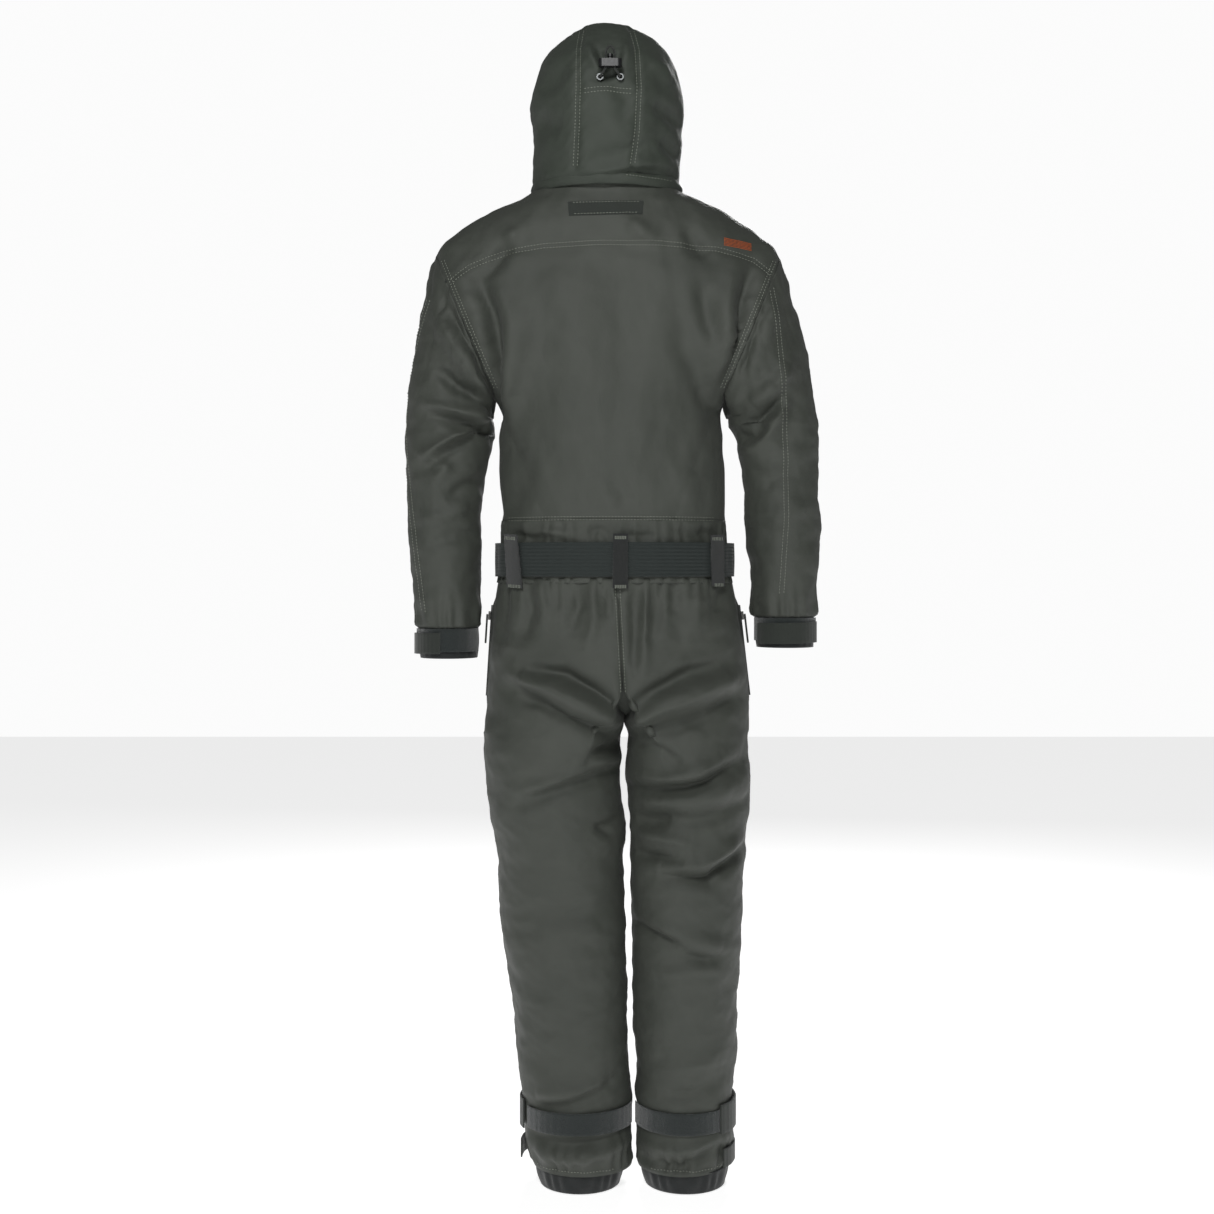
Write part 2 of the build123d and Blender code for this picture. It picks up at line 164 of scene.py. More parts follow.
def pressFolds(piece, folds, strength=1.9, towards=1, keep=None):
    # Raises or sinks soft ridges along strokes drawn in the XZ plane, on the side that faces +Y or -Y
    points, out = coords(piece), normals(piece)
    facing = np.clip(out[:, 1] * towards * 1.8 + 0.25, 0, 1)
    lift = np.zeros(len(points))
    for stroke, width, height in folds:
        best = np.full(len(points), 9.0)
        along = np.zeros(len(points))
        ends = np.array(stroke)
        lengths = np.hypot(*(ends[1:] - ends[:-1]).T)
        run, total = 0.0, lengths.sum()
        for a, b, length in zip(ends, ends[1:], lengths):
            d = b - a
            t = np.clip(((points[:, [0, 2]] - a) @ d) / (d @ d), 0, 1)
            gap = np.hypot(*(points[:, [0, 2]] - a - t[:, None] * d).T)
            closer = gap < best
            best[closer] = gap[closer]
            along[closer] = (run + t[closer] * length) / total
            run += length
        taper = np.sqrt(np.clip(np.sin(np.clip(along, 0.02, 0.98) * pi), 0, 1))
        lift += height * strength * taper * np.exp(-((best / width) ** 2) * 1.7)
    if keep is not None:
        lift *= keep(points)
    moveTo(piece, points + out * (lift * facing)[:, None])


def ruffle(piece, amount, grain, stretch=(1, 1, 1), seed=0.0, keep=None):
    # Gentle uneven puckers from layered noise
    points, out = coords(piece), normals(piece)
    scaled = points * np.array(stretch) / grain + seed
    lift = np.array([noise.noise(p) + 0.45 * noise.noise(Vector(p) * 2.3) for p in scaled]) * amount
    if keep is not None:
        lift *= keep(points)
    moveTo(piece, points + out * lift[:, None])


def thicken(piece, thickness, offset=-1.0):
    solid = piece.modifiers.new("wall", "SOLIDIFY")
    solid.thickness = thickness
    solid.offset = offset
    solid.use_rim = True


def surfaceOf(*pieces):
    bm = bmesh.new()
    for piece in pieces:
        bm.from_mesh(piece.data)
    tree = BVHTree.FromBMesh(bm)
    bm.free()
    return tree


def dressed(piece, material):
    piece.data.materials.clear()
    piece.data.materials.append(material)
    return piece


# Materials
class Socket:
    # One node output, so that shader sums read like sums
    def __init__(self, tree, output):
        self.tree, self.output = tree, output

    def math(self, kind, other=None, third=None):
        node = self.tree.nodes.new("ShaderNodeMath")
        node.operation = kind
        for slot, value in zip(node.inputs, (self, other, third)):
            plug(self.tree, value, slot)
        return Socket(self.tree, node.outputs[0])

    def __add__(self, other):
        return self.math("ADD", other)

    def __sub__(self, other):
        return self.math("SUBTRACT", other)

    def __rsub__(self, other):
        return (self * -1) + other

    def __mul__(self, other):
        return self.math("MULTIPLY", other)

    __radd__, __rmul__ = __add__, __mul__


def plug(tree, value, slot):
    if isinstance(value, Socket):
        tree.links.new(value.output, slot)
    elif value is not None:
        slot.default_value = value


class Finish:
    # A material with its Principled shader and one way to add any node
    def __init__(self, name):
        self.material = bpy.data.materials.new(name)
        self.material.use_nodes = True
        self.tree = self.material.node_tree
        self.shader = self.tree.nodes["Principled BSDF"]

    def node(self, kind, output=0, settings=None, **inputs):
        made = self.tree.nodes.new(kind)
        for key, value in (settings or {}).items():
            setattr(made, key, value)
        for key, value in inputs.items():
            plug(self.tree, value, made.inputs[key.replace("_", " ")])
        return Socket(self.tree, made.outputs[output])

    def set(self, **inputs):
        for key, value in inputs.items():
            plug(self.tree, value, self.shader.inputs[key.replace("_", " ")])
        return self.material


def linear(red, green, blue):
    levels = [c / 255 for c in (red, green, blue)]
    return tuple(((c + 0.055) / 1.055) ** 2.4 if c > 0.0393 else c / 12.92 for c in levels) + (1.0,)


def woven(name, colour, shade, weave=0.0011, rough=0.82, fuzz=0.25, puff=0.12):
    finish = Finish(name)
    place = finish.node("ShaderNodeTexCoord", output=3)
    across = finish.node("ShaderNodeTexWave", output=1, settings={"bands_direction": "X"}, Vector=place,
                         Scale=0.31 / weave, Distortion=1.2, Detail=1.0)
    down = finish.node("ShaderNodeTexWave", output=1, settings={"bands_direction": "Z"}, Vector=place,
                       Scale=0.31 / weave, Distortion=1.2, Detail=1.0)
    cloud = finish.node("ShaderNodeTexNoise", output=0, Vector=place, Scale=9.0, Detail=5.0, Roughness=0.6)
    crease = finish.node("ShaderNodeTexNoise", output=0, Vector=place, Scale=70.0, Detail=4.0, Roughness=0.65)
    # Base colour: random tone from the cloud noise, plus painted shade in the crinkle hollows. Where the crease
    # noise that raises the bump is low, the colour goes towards the shade colour
    toneAndCreaseShade = finish.node("ShaderNodeMix", output=2, settings={"data_type": "RGBA"},
                       Factor=cloud * 0.9 + crease * 0.35 - 0.12)
    mix = toneAndCreaseShade.output.node
    mix.inputs[6].default_value, mix.inputs[7].default_value = linear(*shade), linear(*colour)
    bump = finish.node("ShaderNodeBump", Strength=0.35, Distance=0.0006,
                       Height=across * down + crease * puff * 8)
    finish.set(Base_Color=toneAndCreaseShade, Roughness=crease * 0.16 + (rough - 0.08), Normal=bump, Sheen_Weight=fuzz,
               Sheen_Roughness=0.5, Specular_IOR_Level=0.42)
    return finish.material


def fuzzy(name, colour):
    finish = Finish(name)
    place = finish.node("ShaderNodeTexCoord", output=3)
    loops = finish.node("ShaderNodeTexNoise", output=0, Vector=place, Scale=900.0, Detail=2.0)
    bump = finish.node("ShaderNodeBump", Strength=0.9, Distance=0.0012, Height=loops)
    finish.set(Base_Color=linear(*colour), Roughness=loops * 0.2 + 0.78, Normal=bump, Sheen_Weight=0.5)
    return finish.material


def ribbed(name, colour, pitch, axis="Z"):
    finish = Finish(name)
    place = finish.node("ShaderNodeTexCoord", output=3)
    ribs = finish.node("ShaderNodeTexWave", output=1, settings={"bands_direction": axis}, Vector=place,
                       Scale=0.31 / pitch, Distortion=0.15)
    grain = finish.node("ShaderNodeTexNoise", output=0, Vector=place, Scale=420.0, Detail=3.0)
    bump = finish.node("ShaderNodeBump", Strength=0.8, Distance=0.0009, Height=ribs + grain * 0.35)
    finish.set(Base_Color=linear(*colour), Roughness=grain * 0.15 + 0.72, Normal=bump, Sheen_Weight=0.15)
    return finish.material


def moulded(name, colour, rough, metallic=0.0):
    finish = Finish(name)
    place = finish.node("ShaderNodeTexCoord", output=3)
    grain = finish.node("ShaderNodeTexNoise", output=0, Vector=place, Scale=350.0, Detail=3.0)
    bump = finish.node("ShaderNodeBump", Strength=0.15, Distance=0.0004, Height=grain)
    finish.set(Base_Color=linear(*colour), Roughness=grain * 0.14 + (rough - 0.07), Metallic=metallic,
               Normal=bump)
    return finish.material


finishes = {
    "shell": woven("shellFabric", (70, 73, 67), (51, 55, 49), rough=0.6, fuzz=0.04),
    "hood": woven("hoodFabric", (60, 66, 58), (46, 52, 45), rough=0.62, fuzz=0.04),
    "elastic": ribbed("ribbedBelt", (22, 31, 29), 0.0052),
    "binding": ribbed("seamBinding", (42, 46, 42), 0.003),
    "zip_tape": ribbed("zipTape", (26, 29, 28), 0.0016, "X"),
    "zip_metal": moulded("zipMetal", (72, 72, 70), 0.36, 1.0),
    "cord": ribbed("cordBraid", (36, 39, 36), 0.0022),
    "black_plastic": moulded("blackPlastic", (22, 23, 24), 0.42),
    "eyelet_metal": moulded("eyeletMetal", (74, 76, 76), 0.34, 1.0),
    "stud_metal": moulded("studMetal", (60, 62, 62), 0.4, 1.0),
    "loop_tape": fuzzy("loopTape", (20, 29, 28)),
    "tab_fabric": woven("tabFabric", (40, 45, 40), (30, 35, 30)),
    "hem_black": woven("hemFabric", (24, 28, 28), (16, 20, 20)),
    "lining": woven("quiltedLining", (46, 50, 48), (34, 38, 37), fuzz=0.4),
    "thread": moulded("topStitchThread", (138, 143, 132), 0.75),
    "accent": moulded("accentStitch", (178, 84, 34), 0.7),
}
print("materials made")

# Fold strokes: (x, z) along the cloth as seen from behind, width and height of the ridge (negative sinks)
trousersFolds = [
    ([(0.148, -0.578), (0.151, -0.622), (0.158, -0.672)], 0.016, -0.003),
    ([(0.114, -0.575), (0.111, -0.616), (0.123, -0.659)], 0.014, -0.0035),
    ([(0.097, -0.575), (0.089, -0.61), (0.092, -0.641)], 0.01, 0.003),
    ([(0.045, -0.575), (0.042, -0.61), (0.055, -0.647)], 0.012, -0.0035),
    ([(0.024, -0.578), (0.017, -0.628), (0.03, -0.672)], 0.012, 0.003),
    ([(-0.004, -0.585), (-0.001, -0.628)], 0.008, -0.0025),
    ([(-0.039, -0.585), (-0.042, -0.641), (-0.04, -0.703)], 0.013, -0.0045),
    ([(-0.054, -0.585), (-0.052, -0.653), (-0.049, -0.703)], 0.012, 0.004),
    ([(-0.073, -0.588), (-0.07, -0.628), (-0.06, -0.666)], 0.012, -0.003),
    ([(-0.101, -0.578), (-0.095, -0.622)], 0.014, -0.0025),
    ([(-0.132, -0.578), (-0.129, -0.628), (-0.117, -0.672)], 0.016, 0.0025),
    ([(-0.169, -0.578), (-0.163, -0.622)], 0.012, -0.003),
    ([(-0.024, -0.764), (0.017, -0.734), (0.061, -0.709), (0.123, -0.703)], 0.013, -0.007),
    ([(-0.024, -0.783), (0.024, -0.756), (0.08, -0.728), (0.131, -0.714)], 0.018, 0.008),
    ([(-0.02, -0.804), (0.03, -0.778), (0.08, -0.758), (0.136, -0.731)], 0.015, -0.007),
    ([(-0.029, -0.763), (-0.07, -0.731), (-0.12, -0.706), (-0.169, -0.697)], 0.014, -0.006),
    ([(-0.032, -0.778), (-0.082, -0.756), (-0.138, -0.731), (-0.191, -0.715)], 0.02, 0.007),
    ([(-0.039, -0.796), (-0.095, -0.784), (-0.145, -0.765), (-0.194, -0.743)], 0.015, -0.006),
    ([(-0.026, -0.812), (0.005, -0.821), (0.036, -0.834)], 0.012, -0.005),
    ([(-0.02, -0.84), (0.03, -0.828), (0.061, -0.84)], 0.014, 0.004),
    ([(0.123, -0.894), (0.08, -0.876), (0.036, -0.862), (-0.011, -0.852)], 0.014, -0.0055),
    ([(0.12, -0.881), (0.067, -0.862), (0.017, -0.849)], 0.014, 0.004),
    ([(-0.039, -0.809), (-0.076, -0.821), (-0.107, -0.84)], 0.012, -0.004),
    ([(-0.036, -0.876), (-0.076, -0.877), (-0.145, -0.865), (-0.201, -0.835)], 0.014, -0.007),
    ([(-0.045, -0.862), (-0.107, -0.856), (-0.169, -0.834)], 0.018, 0.006),
    ([(-0.045, -0.896), (-0.12, -0.89), (-0.194, -0.865)], 0.016, 0.004),
    ([(-0.039, -0.924), (-0.07, -0.922), (-0.088, -0.915)], 0.012, -0.005),
    ([(-0.045, -0.94), (-0.082, -0.946), (-0.12, -0.952)], 0.014, 0.005),
    ([(-0.039, -0.974), (-0.076, -0.977), (-0.113, -0.983)], 0.012, -0.006),
    ([(-0.07, -0.999), (-0.107, -1.003), (-0.148, -1.004), (-0.204, -0.968)], 0.014, -0.007),
    ([(-0.076, -0.986), (-0.132, -0.985), (-0.194, -0.955)], 0.016, 0.006),
    ([(-0.07, -0.915), (-0.132, -0.921), (-0.201, -0.896)], 0.014, -0.004),
    ([(0.142, -1.057), (0.08, -1.059), (0.017, -1.057), (-0.02, -1.039)], 0.02, -0.003),
    ([(-0.007, -0.947), (0.008, -0.933), (-0.02, -0.924)], 0.01, -0.0035),
    ([(-0.039, -1.08), (-0.076, -1.088), (-0.107, -1.103)], 0.01, -0.0045),
    ([(-0.107, -1.114), (-0.145, -1.124), (-0.169, -1.122)], 0.012, -0.004),
    ([(-0.057, -1.067), (-0.107, -1.086), (-0.169, -1.108)], 0.016, 0.0035),
    ([(-0.07, -1.145), (-0.12, -1.139), (-0.163, -1.13)], 0.012, 0.002),
    ([(0.108, -1.345), (0.061, -1.337), (0.005, -1.32), (-0.023, -1.292)], 0.014, -0.004),
    ([(0.105, -1.326), (0.049, -1.32), (-0.007, -1.304)], 0.016, 0.0035),
    ([(-0.07, -1.326), (-0.12, -1.323), (-0.169, -1.302)], 0.014, -0.003),
    ([(-0.07, -1.289), (-0.12, -1.282), (-0.163, -1.273)], 0.016, 0.0025),
    ([(0.123, -1.388), (0.067, -1.393), (-0.02, -1.385)], 0.012, -0.004),
    ([(0.111, -1.413), (0.049, -1.416), (-0.026, -1.401)], 0.014, 0.004),
    ([(-0.051, -1.401), (-0.107, -1.404), (-0.169, -1.388)], 0.014, 0.0035),
    ([(-0.057, -1.426), (-0.107, -1.431), (-0.163, -1.407)], 0.01, -0.004),
]
torsoFolds = [
    ([(0.186, -0.136), (0.165, -0.19), (0.16, -0.264), (0.158, -0.343)], 0.017, -0.008),
    ([(0.169, -0.146), (0.143, -0.205), (0.142, -0.284), (0.147, -0.363)], 0.022, 0.004),
    ([(-0.215, -0.111), (-0.198, -0.165), (-0.196, -0.215), (-0.178, -0.314)], 0.016, -0.007),
    ([(-0.188, -0.126), (-0.173, -0.185), (-0.168, -0.264)], 0.022, 0.004),
    ([(-0.114, -0.062), (-0.134, -0.091), (-0.144, -0.106)], 0.016, -0.003),
    ([(-0.03, -0.057), (-0.055, -0.077), (-0.07, -0.086)], 0.016, 0.0025),
    ([(-0.104, -0.18), (-0.114, -0.245), (-0.149, -0.314), (-0.164, -0.363)], 0.022, -0.003),
    ([(-0.134, -0.146), (-0.149, -0.205), (-0.168, -0.245)], 0.016, -0.003),
    ([(0.113, -0.18), (0.123, -0.245), (0.133, -0.304)], 0.022, 0.0025),
    ([(-0.02, -0.106), (-0.023, -0.215), (-0.026, -0.363)], 0.04, -0.0018),
    ([(0.049, -0.116), (0.049, -0.215), (0.044, -0.363)], 0.044, 0.0015),
    ([(-0.01, -0.413), (-0.025, -0.452), (-0.02, -0.482)], 0.02, -0.002),
    ([(0.118, -0.388), (0.128, -0.437), (0.138, -0.482)], 0.022, -0.002),
    ([(-0.119, -0.413), (-0.109, -0.462)], 0.02, 0.0016),
    ([(0.138, -0.077), (0.158, -0.106), (0.178, -0.136)], 0.014, -0.003),
    ([(0.128, -0.067), (0.148, -0.086)], 0.014, 0.0025),
]
bandFolds = [
    ([(0.139, -0.506), (0.109, -0.514), (0.079, -0.511)], 0.008, -0.004),
    ([(0.094, -0.501), (0.059, -0.507), (0.049, -0.511)], 0.008, 0.003),
    ([(0.029, -0.506), (0.01, -0.501), (-0.0, -0.507)], 0.008, -0.003),
    ([(-0.02, -0.509), (-0.05, -0.511), (-0.07, -0.506)], 0.008, -0.003),
    ([(-0.1, -0.501), (-0.13, -0.507), (-0.164, -0.504)], 0.009, -0.003),
]
leftSleeveFolds = [
    ([(0.231, -0.174), (0.206, -0.209), (0.18, -0.239), (0.168, -0.29)], 0.018, -0.006),
    ([(0.241, -0.194), (0.216, -0.239), (0.186, -0.28), (0.165, -0.33)], 0.02, 0.0055),
    ([(0.256, -0.264), (0.221, -0.29), (0.18, -0.31), (0.165, -0.345)], 0.014, -0.006),
    ([(0.266, -0.315), (0.226, -0.327), (0.18, -0.335), (0.158, -0.342)], 0.013, 0.005),
    ([(0.268, -0.33), (0.216, -0.342), (0.16, -0.35)], 0.013, -0.0055),
    ([(0.271, -0.41), (0.236, -0.385), (0.196, -0.365), (0.165, -0.355)], 0.012, -0.006),
    ([(0.266, -0.395), (0.231, -0.37), (0.191, -0.352)], 0.014, 0.005),
    ([(0.273, -0.385), (0.236, -0.41), (0.251, -0.43)], 0.012, 0.003),
    ([(0.236, -0.46), (0.211, -0.44), (0.186, -0.425)], 0.014, -0.0035),
    ([(0.276, -0.481), (0.241, -0.481), (0.201, -0.46)], 0.016, 0.0025),
    ([(0.256, -0.521), (0.221, -0.511), (0.186, -0.506)], 0.014, -0.0025),
]
rightSleeveFolds = [
    ([(-0.221, -0.184), (-0.206, -0.209), (-0.196, -0.264)], 0.014, -0.005),
    ([(-0.242, -0.159), (-0.232, -0.209), (-0.227, -0.249)], 0.016, 0.003),
    ([(-0.257, -0.305), (-0.242, -0.325), (-0.196, -0.355)], 0.012, -0.0055),
    ([(-0.267, -0.259), (-0.247, -0.29), (-0.211, -0.315)], 0.014, 0.004),
    ([(-0.237, -0.345), (-0.211, -0.367), (-0.191, -0.365)], 0.012, -0.006),
    ([(-0.262, -0.32), (-0.232, -0.36), (-0.201, -0.383)], 0.014, 0.0045),
    ([(-0.292, -0.285), (-0.272, -0.34), (-0.257, -0.385)], 0.02, -0.003),
    ([(-0.201, -0.41), (-0.237, -0.425), (-0.282, -0.41)], 0.016, -0.0025),
    ([(-0.206, -0.47), (-0.247, -0.481), (-0.292, -0.465)], 0.018, 0.0025),
]
hoodFolds = [
    ([(0.1, -0.005), (0.049, -0.017), (0.009, -0.005), (-0.03, 0.01), (-0.104, 0.02)], 0.013, -0.005),
    ([(0.103, 0.01), (0.049, -0.001), (0.009, 0.01), (-0.04, 0.024), (-0.104, 0.032)], 0.018, 0.0045),
    ([(0.014, 0.187), (0.005, 0.167), (-0.0, 0.152)], 0.009, -0.005),
    ([(0.017, 0.143), (-0.015, 0.152), (-0.02, 0.187)], 0.009, -0.004),
    ([(0.029, 0.197), (0.019, 0.172), (0.009, 0.152)], 0.01, 0.003),
    ([(-0.03, 0.197), (-0.023, 0.172), (-0.015, 0.152)], 0.01, 0.003),
    ([(-0.005, 0.133), (-0.03, 0.113), (-0.02, 0.079)], 0.018, -0.0025),
    ([(0.108, 0.103), (0.088, 0.084), (0.068, 0.079)], 0.018, -0.003),
    ([(0.059, 0.167), (0.078, 0.147), (0.098, 0.133)], 0.018, -0.0025),
    ([(-0.069, 0.108), (-0.094, 0.103), (-0.111, 0.093)], 0.014, -0.004),
    ([(-0.079, 0.064), (-0.099, 0.054), (-0.111, 0.056)], 0.014, -0.0035),
    ([(-0.064, 0.177), (-0.079, 0.167), (-0.094, 0.147)], 0.016, 0.003),
    ([(0.029, 0.029), (-0.01, 0.034), (-0.059, 0.054)], 0.018, -0.0025),
    ([(-0.04, -0.005), (-0.069, 0.005), (-0.104, 0.01)], 0.009, -0.0035),
]


# Torso: a quilted shell from the neck to the waist seam, open at both armholes
torsoRows = [
    (0.004, 0.112, 0.090), (-0.008, 0.135, 0.092), (-0.026, 0.172, 0.097), (-0.062, 0.231, 0.106),
    (-0.098, 0.264, 0.112), (-0.150, 0.288, 0.118), (-0.210, 0.286, 0.121), (-0.260, 0.236, 0.122),
    (-0.305, 0.176, 0.122), (-0.365, 0.167, 0.120), (-0.425, 0.168, 0.117), (-0.485, 0.168, 0.114),
    (-0.545, 0.170, 0.114), (-0.605, 0.181, 0.119), (-0.665, 0.188, 0.124), (-0.725, 0.193, 0.125),
    (-0.780, 0.196, 0.124),
]
torsoSpec = {"across": 250, "down": 112, "low": -0.4875, "high": 0.006, "shrink": 0.0006, "puff": 0.0042,
             "grain": 0.085}
armhole = {side: (Vector((side * 0.212 + 0.0257 * -0.1035, -0.076, -0.2015)),
                  Vector((side * sin(radians(67.4)), 0, -cos(radians(67.4))))) for side in (1, -1)}


def evenRows(rows, low, high, count):
    # Heights spaced evenly along the outline rather than along Z
    z = np.linspace(low, high, 1200)
    half = curveThrough(rows, z)[:, 0]
    run = np.concatenate([[0], np.cumsum(np.hypot(np.diff(z), np.diff(half)))])
    return np.interp(np.linspace(0, run[-1], count), run, z)


def torsoPoint(turn, z, grow=0.0):
    halves = curveThrough(torsoRows, z)
    a, b = halves[:, 0] + grow, halves[:, 1] + grow
    return np.stack([lean(z) + a * np.sin(turn), frontLine(z) + halves[:, 1] - b * np.cos(turn), z], 1)


def torsoPlace(low, high, grow):
    levels = evenRows(torsoRows, low, high, 400)

    def place(u, v):
        return torsoPoint(u * 2 * pi, np.interp(v, np.linspace(0, 1, 400), levels), grow)
    return place


def fairSeam(side):
    # Where the armhole seam shows from behind
    centre, axis = armhole[side]
    return [(centre.x + side * 0.384 * s, centre.z + 0.923 * s) for s in np.linspace(-0.104, 0.112, 20)]


torso = gridPiece("torsoShell", torsoSpec["across"], torsoSpec["down"],
                  torsoPlace(torsoSpec["low"], torsoSpec["high"], -torsoSpec["shrink"]))
turnOut(torso, (0, suit["midY"], -0.25))
armholeLow = -0.3025
bm = bmesh.new()
bm.from_mesh(torso.data)
for side in (1, -1):
    centre, axis = armhole[side]
    for spot, facing in ((centre, axis), (Vector((0, 0, armholeLow)), Vector((0, 0, 1)))):
        bmesh.ops.bisect_plane(bm, geom=bm.verts[:] + bm.edges[:] + bm.faces[:],
                               plane_co=spot, plane_no=facing, dist=0.00005)
    spare = [f for f in bm.faces if (f.calc_center_median() - centre).dot(axis) > 0
             and f.calc_center_median().z > armholeLow and f.calc_center_median().x * side > 0]
    bmesh.ops.delete(bm, geom=spare, context="FACES")
bmesh.ops.remove_doubles(bm, verts=[v for v in bm.verts if not v.is_boundary], dist=0.0007)
bm.to_mesh(torso.data)
bm.free()

yokeSeam = [(-0.245, -0.128), (-0.215, -0.105), (-0.16, -0.093), (-0.08, -0.088), (0.0, -0.088),
            (0.09, -0.091), (0.15, -0.099), (0.20, -0.118), (0.235, -0.145)]


def gapTo(stroke, points):
    ends, flat = np.array(stroke, float), points[:, [0, 2]]
    best = np.full(len(flat), 9.0)
    for a, b in zip(ends, ends[1:]):
        d = b - a
        t = np.clip(((flat - a) @ d) / (d @ d), 0, 1)
        best = np.minimum(best, np.hypot(*(flat - a - t[:, None] * d).T))
    return best


def sewSeam(piece, stroke, depth=0.0022, width=0.0045, pitch=0.016, towards=1):
    # A sewn channel with puckers either side of it
    points, out = coords(piece), normals(piece)
    facing = np.clip(out[:, 1] * towards * 3 + 0.4, 0, 1)
    gap = gapTo(stroke, points)
    run = points[:, 0] + points[:, 2] * 0.9
    ripple = np.sin(run / pitch * 2 * pi + 2.3 * np.sin(run * 21)) * 0.5 + 0.5
    lift = -depth * np.exp(-((gap / width) ** 2)) + 0.0011 * (ripple - 0.5) * np.exp(-((gap / 0.016) ** 2))
    moveTo(piece, points + out * (lift * facing)[:, None])


def frontCalm(points):
    # The cloth lies flat beside the front zip
    off = np.abs(points[:, 0] - lean(points[:, 2]))
    return np.where(points[:, 1] < suit["midY"], easeStep((off - 0.03) / 0.03), 1.0)


def seatZip(piece):
    # A shallow bed for the zip chain, with the cloth raised beside it
    points = coords(piece)
    off = np.abs(points[:, 0] - lean(points[:, 2]))
    front = points[:, 1] < suit["midY"]
    bed = 0.0014 * np.exp(-((off / 0.006) ** 4)) - 0.0011 * np.exp(-(((off - 0.019) / 0.011) ** 4))
    points[:, 1] += np.where(front & (points[:, 2] > -0.705) & (points[:, 2] < 0.0), bed, 0)
    moveTo(piece, points)


def torsoKeep(points):
    edge = np.minimum(points[:, 2] + 0.4875, 0.004 - points[:, 2])
    for side in (1, -1):
        centre, axis = armhole[side]
        reach = -(points - np.array(centre)) @ np.array(axis)
        edge = np.minimum(edge, np.where(points[:, 2] > armholeLow - 0.02, np.abs(reach), 1.0))
    return easeStep(edge / 0.014) * frontCalm(points)


pressFolds(torso, torsoFolds, strength=3.6, keep=torsoKeep)
ruffle(torso, torsoSpec["puff"], torsoSpec["grain"], seed=3.1, keep=torsoKeep)
ruffle(torso, 0.0016, 0.026, stretch=(1, 1, 0.55), seed=8.4, keep=torsoKeep)
sewSeam(torso, yokeSeam)
for side in (1, -1):
    centre, axis = armhole[side]
    points, out = coords(torso), normals(torso)
    reach = -(points - np.array(centre)) @ np.array(axis)
    swell = 0.0035 * np.exp(-(((reach - 0.02) / 0.014) ** 2)) - 0.0022 * np.exp(-((reach / 0.005) ** 2))
    angle = np.arctan2(points[:, 2] - centre.z, points[:, 1] - centre.y)
    swell = swell * (0.75 + 0.4 * np.sin(angle * 17 + 2 * np.sin(angle * 3)))
    moveTo(torso, points + out * np.where(reach < 0.06, swell, 0)[:, None])
seatZip(torso)
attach(torso, "torso")
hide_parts("back_yoke", "back_panel", "front_left_panel", "front_right_panel")
print("torso made")


def boundaryLoop(piece, test):
    # The points of one open edge, sorted by their coordinates
    bm = bmesh.new()
    bm.from_mesh(piece.data)
    edges = [e for e in bm.edges if e.is_boundary and test(e.verts[0].co) and test(e.verts[1].co)]
    found = {tuple(v.co) for e in edges for v in e.verts}
    bm.free()
    return np.array(sorted(found))


# Sleeves: grown from the armhole edge to level rings, then straight down to the cuff
armRows = [
    (-0.305, 0.223, 0.083, 0.076), (-0.340, 0.239, 0.0695, 0.073), (-0.395, 0.248, 0.061, 0.068),
    (-0.450, 0.253, 0.057, 0.064), (-0.520, 0.2535, 0.055, 0.060), (-0.580, 0.253, 0.050, 0.056),
    (-0.636, 0.252, 0.046, 0.052),
]
sleeveSpec = {"around": 132, "capRows": 58, "lowRows": 66, "joinZ": -0.352, "puff": 0.0045}


def sleeveRing(side, z, turn, grow=0.0):
    # A level ring: turn 0 is outermost and a quarter turn is the back
    level = z + side * 0.008
    row = curveThrough(armRows, level)
    return np.stack([side * (row[..., 0] + (row[..., 1] + grow) * np.cos(turn)) + lean(z),
                     suit["midY"] + (row[..., 2] + grow) * np.sin(turn), z + 0 * turn], -1)


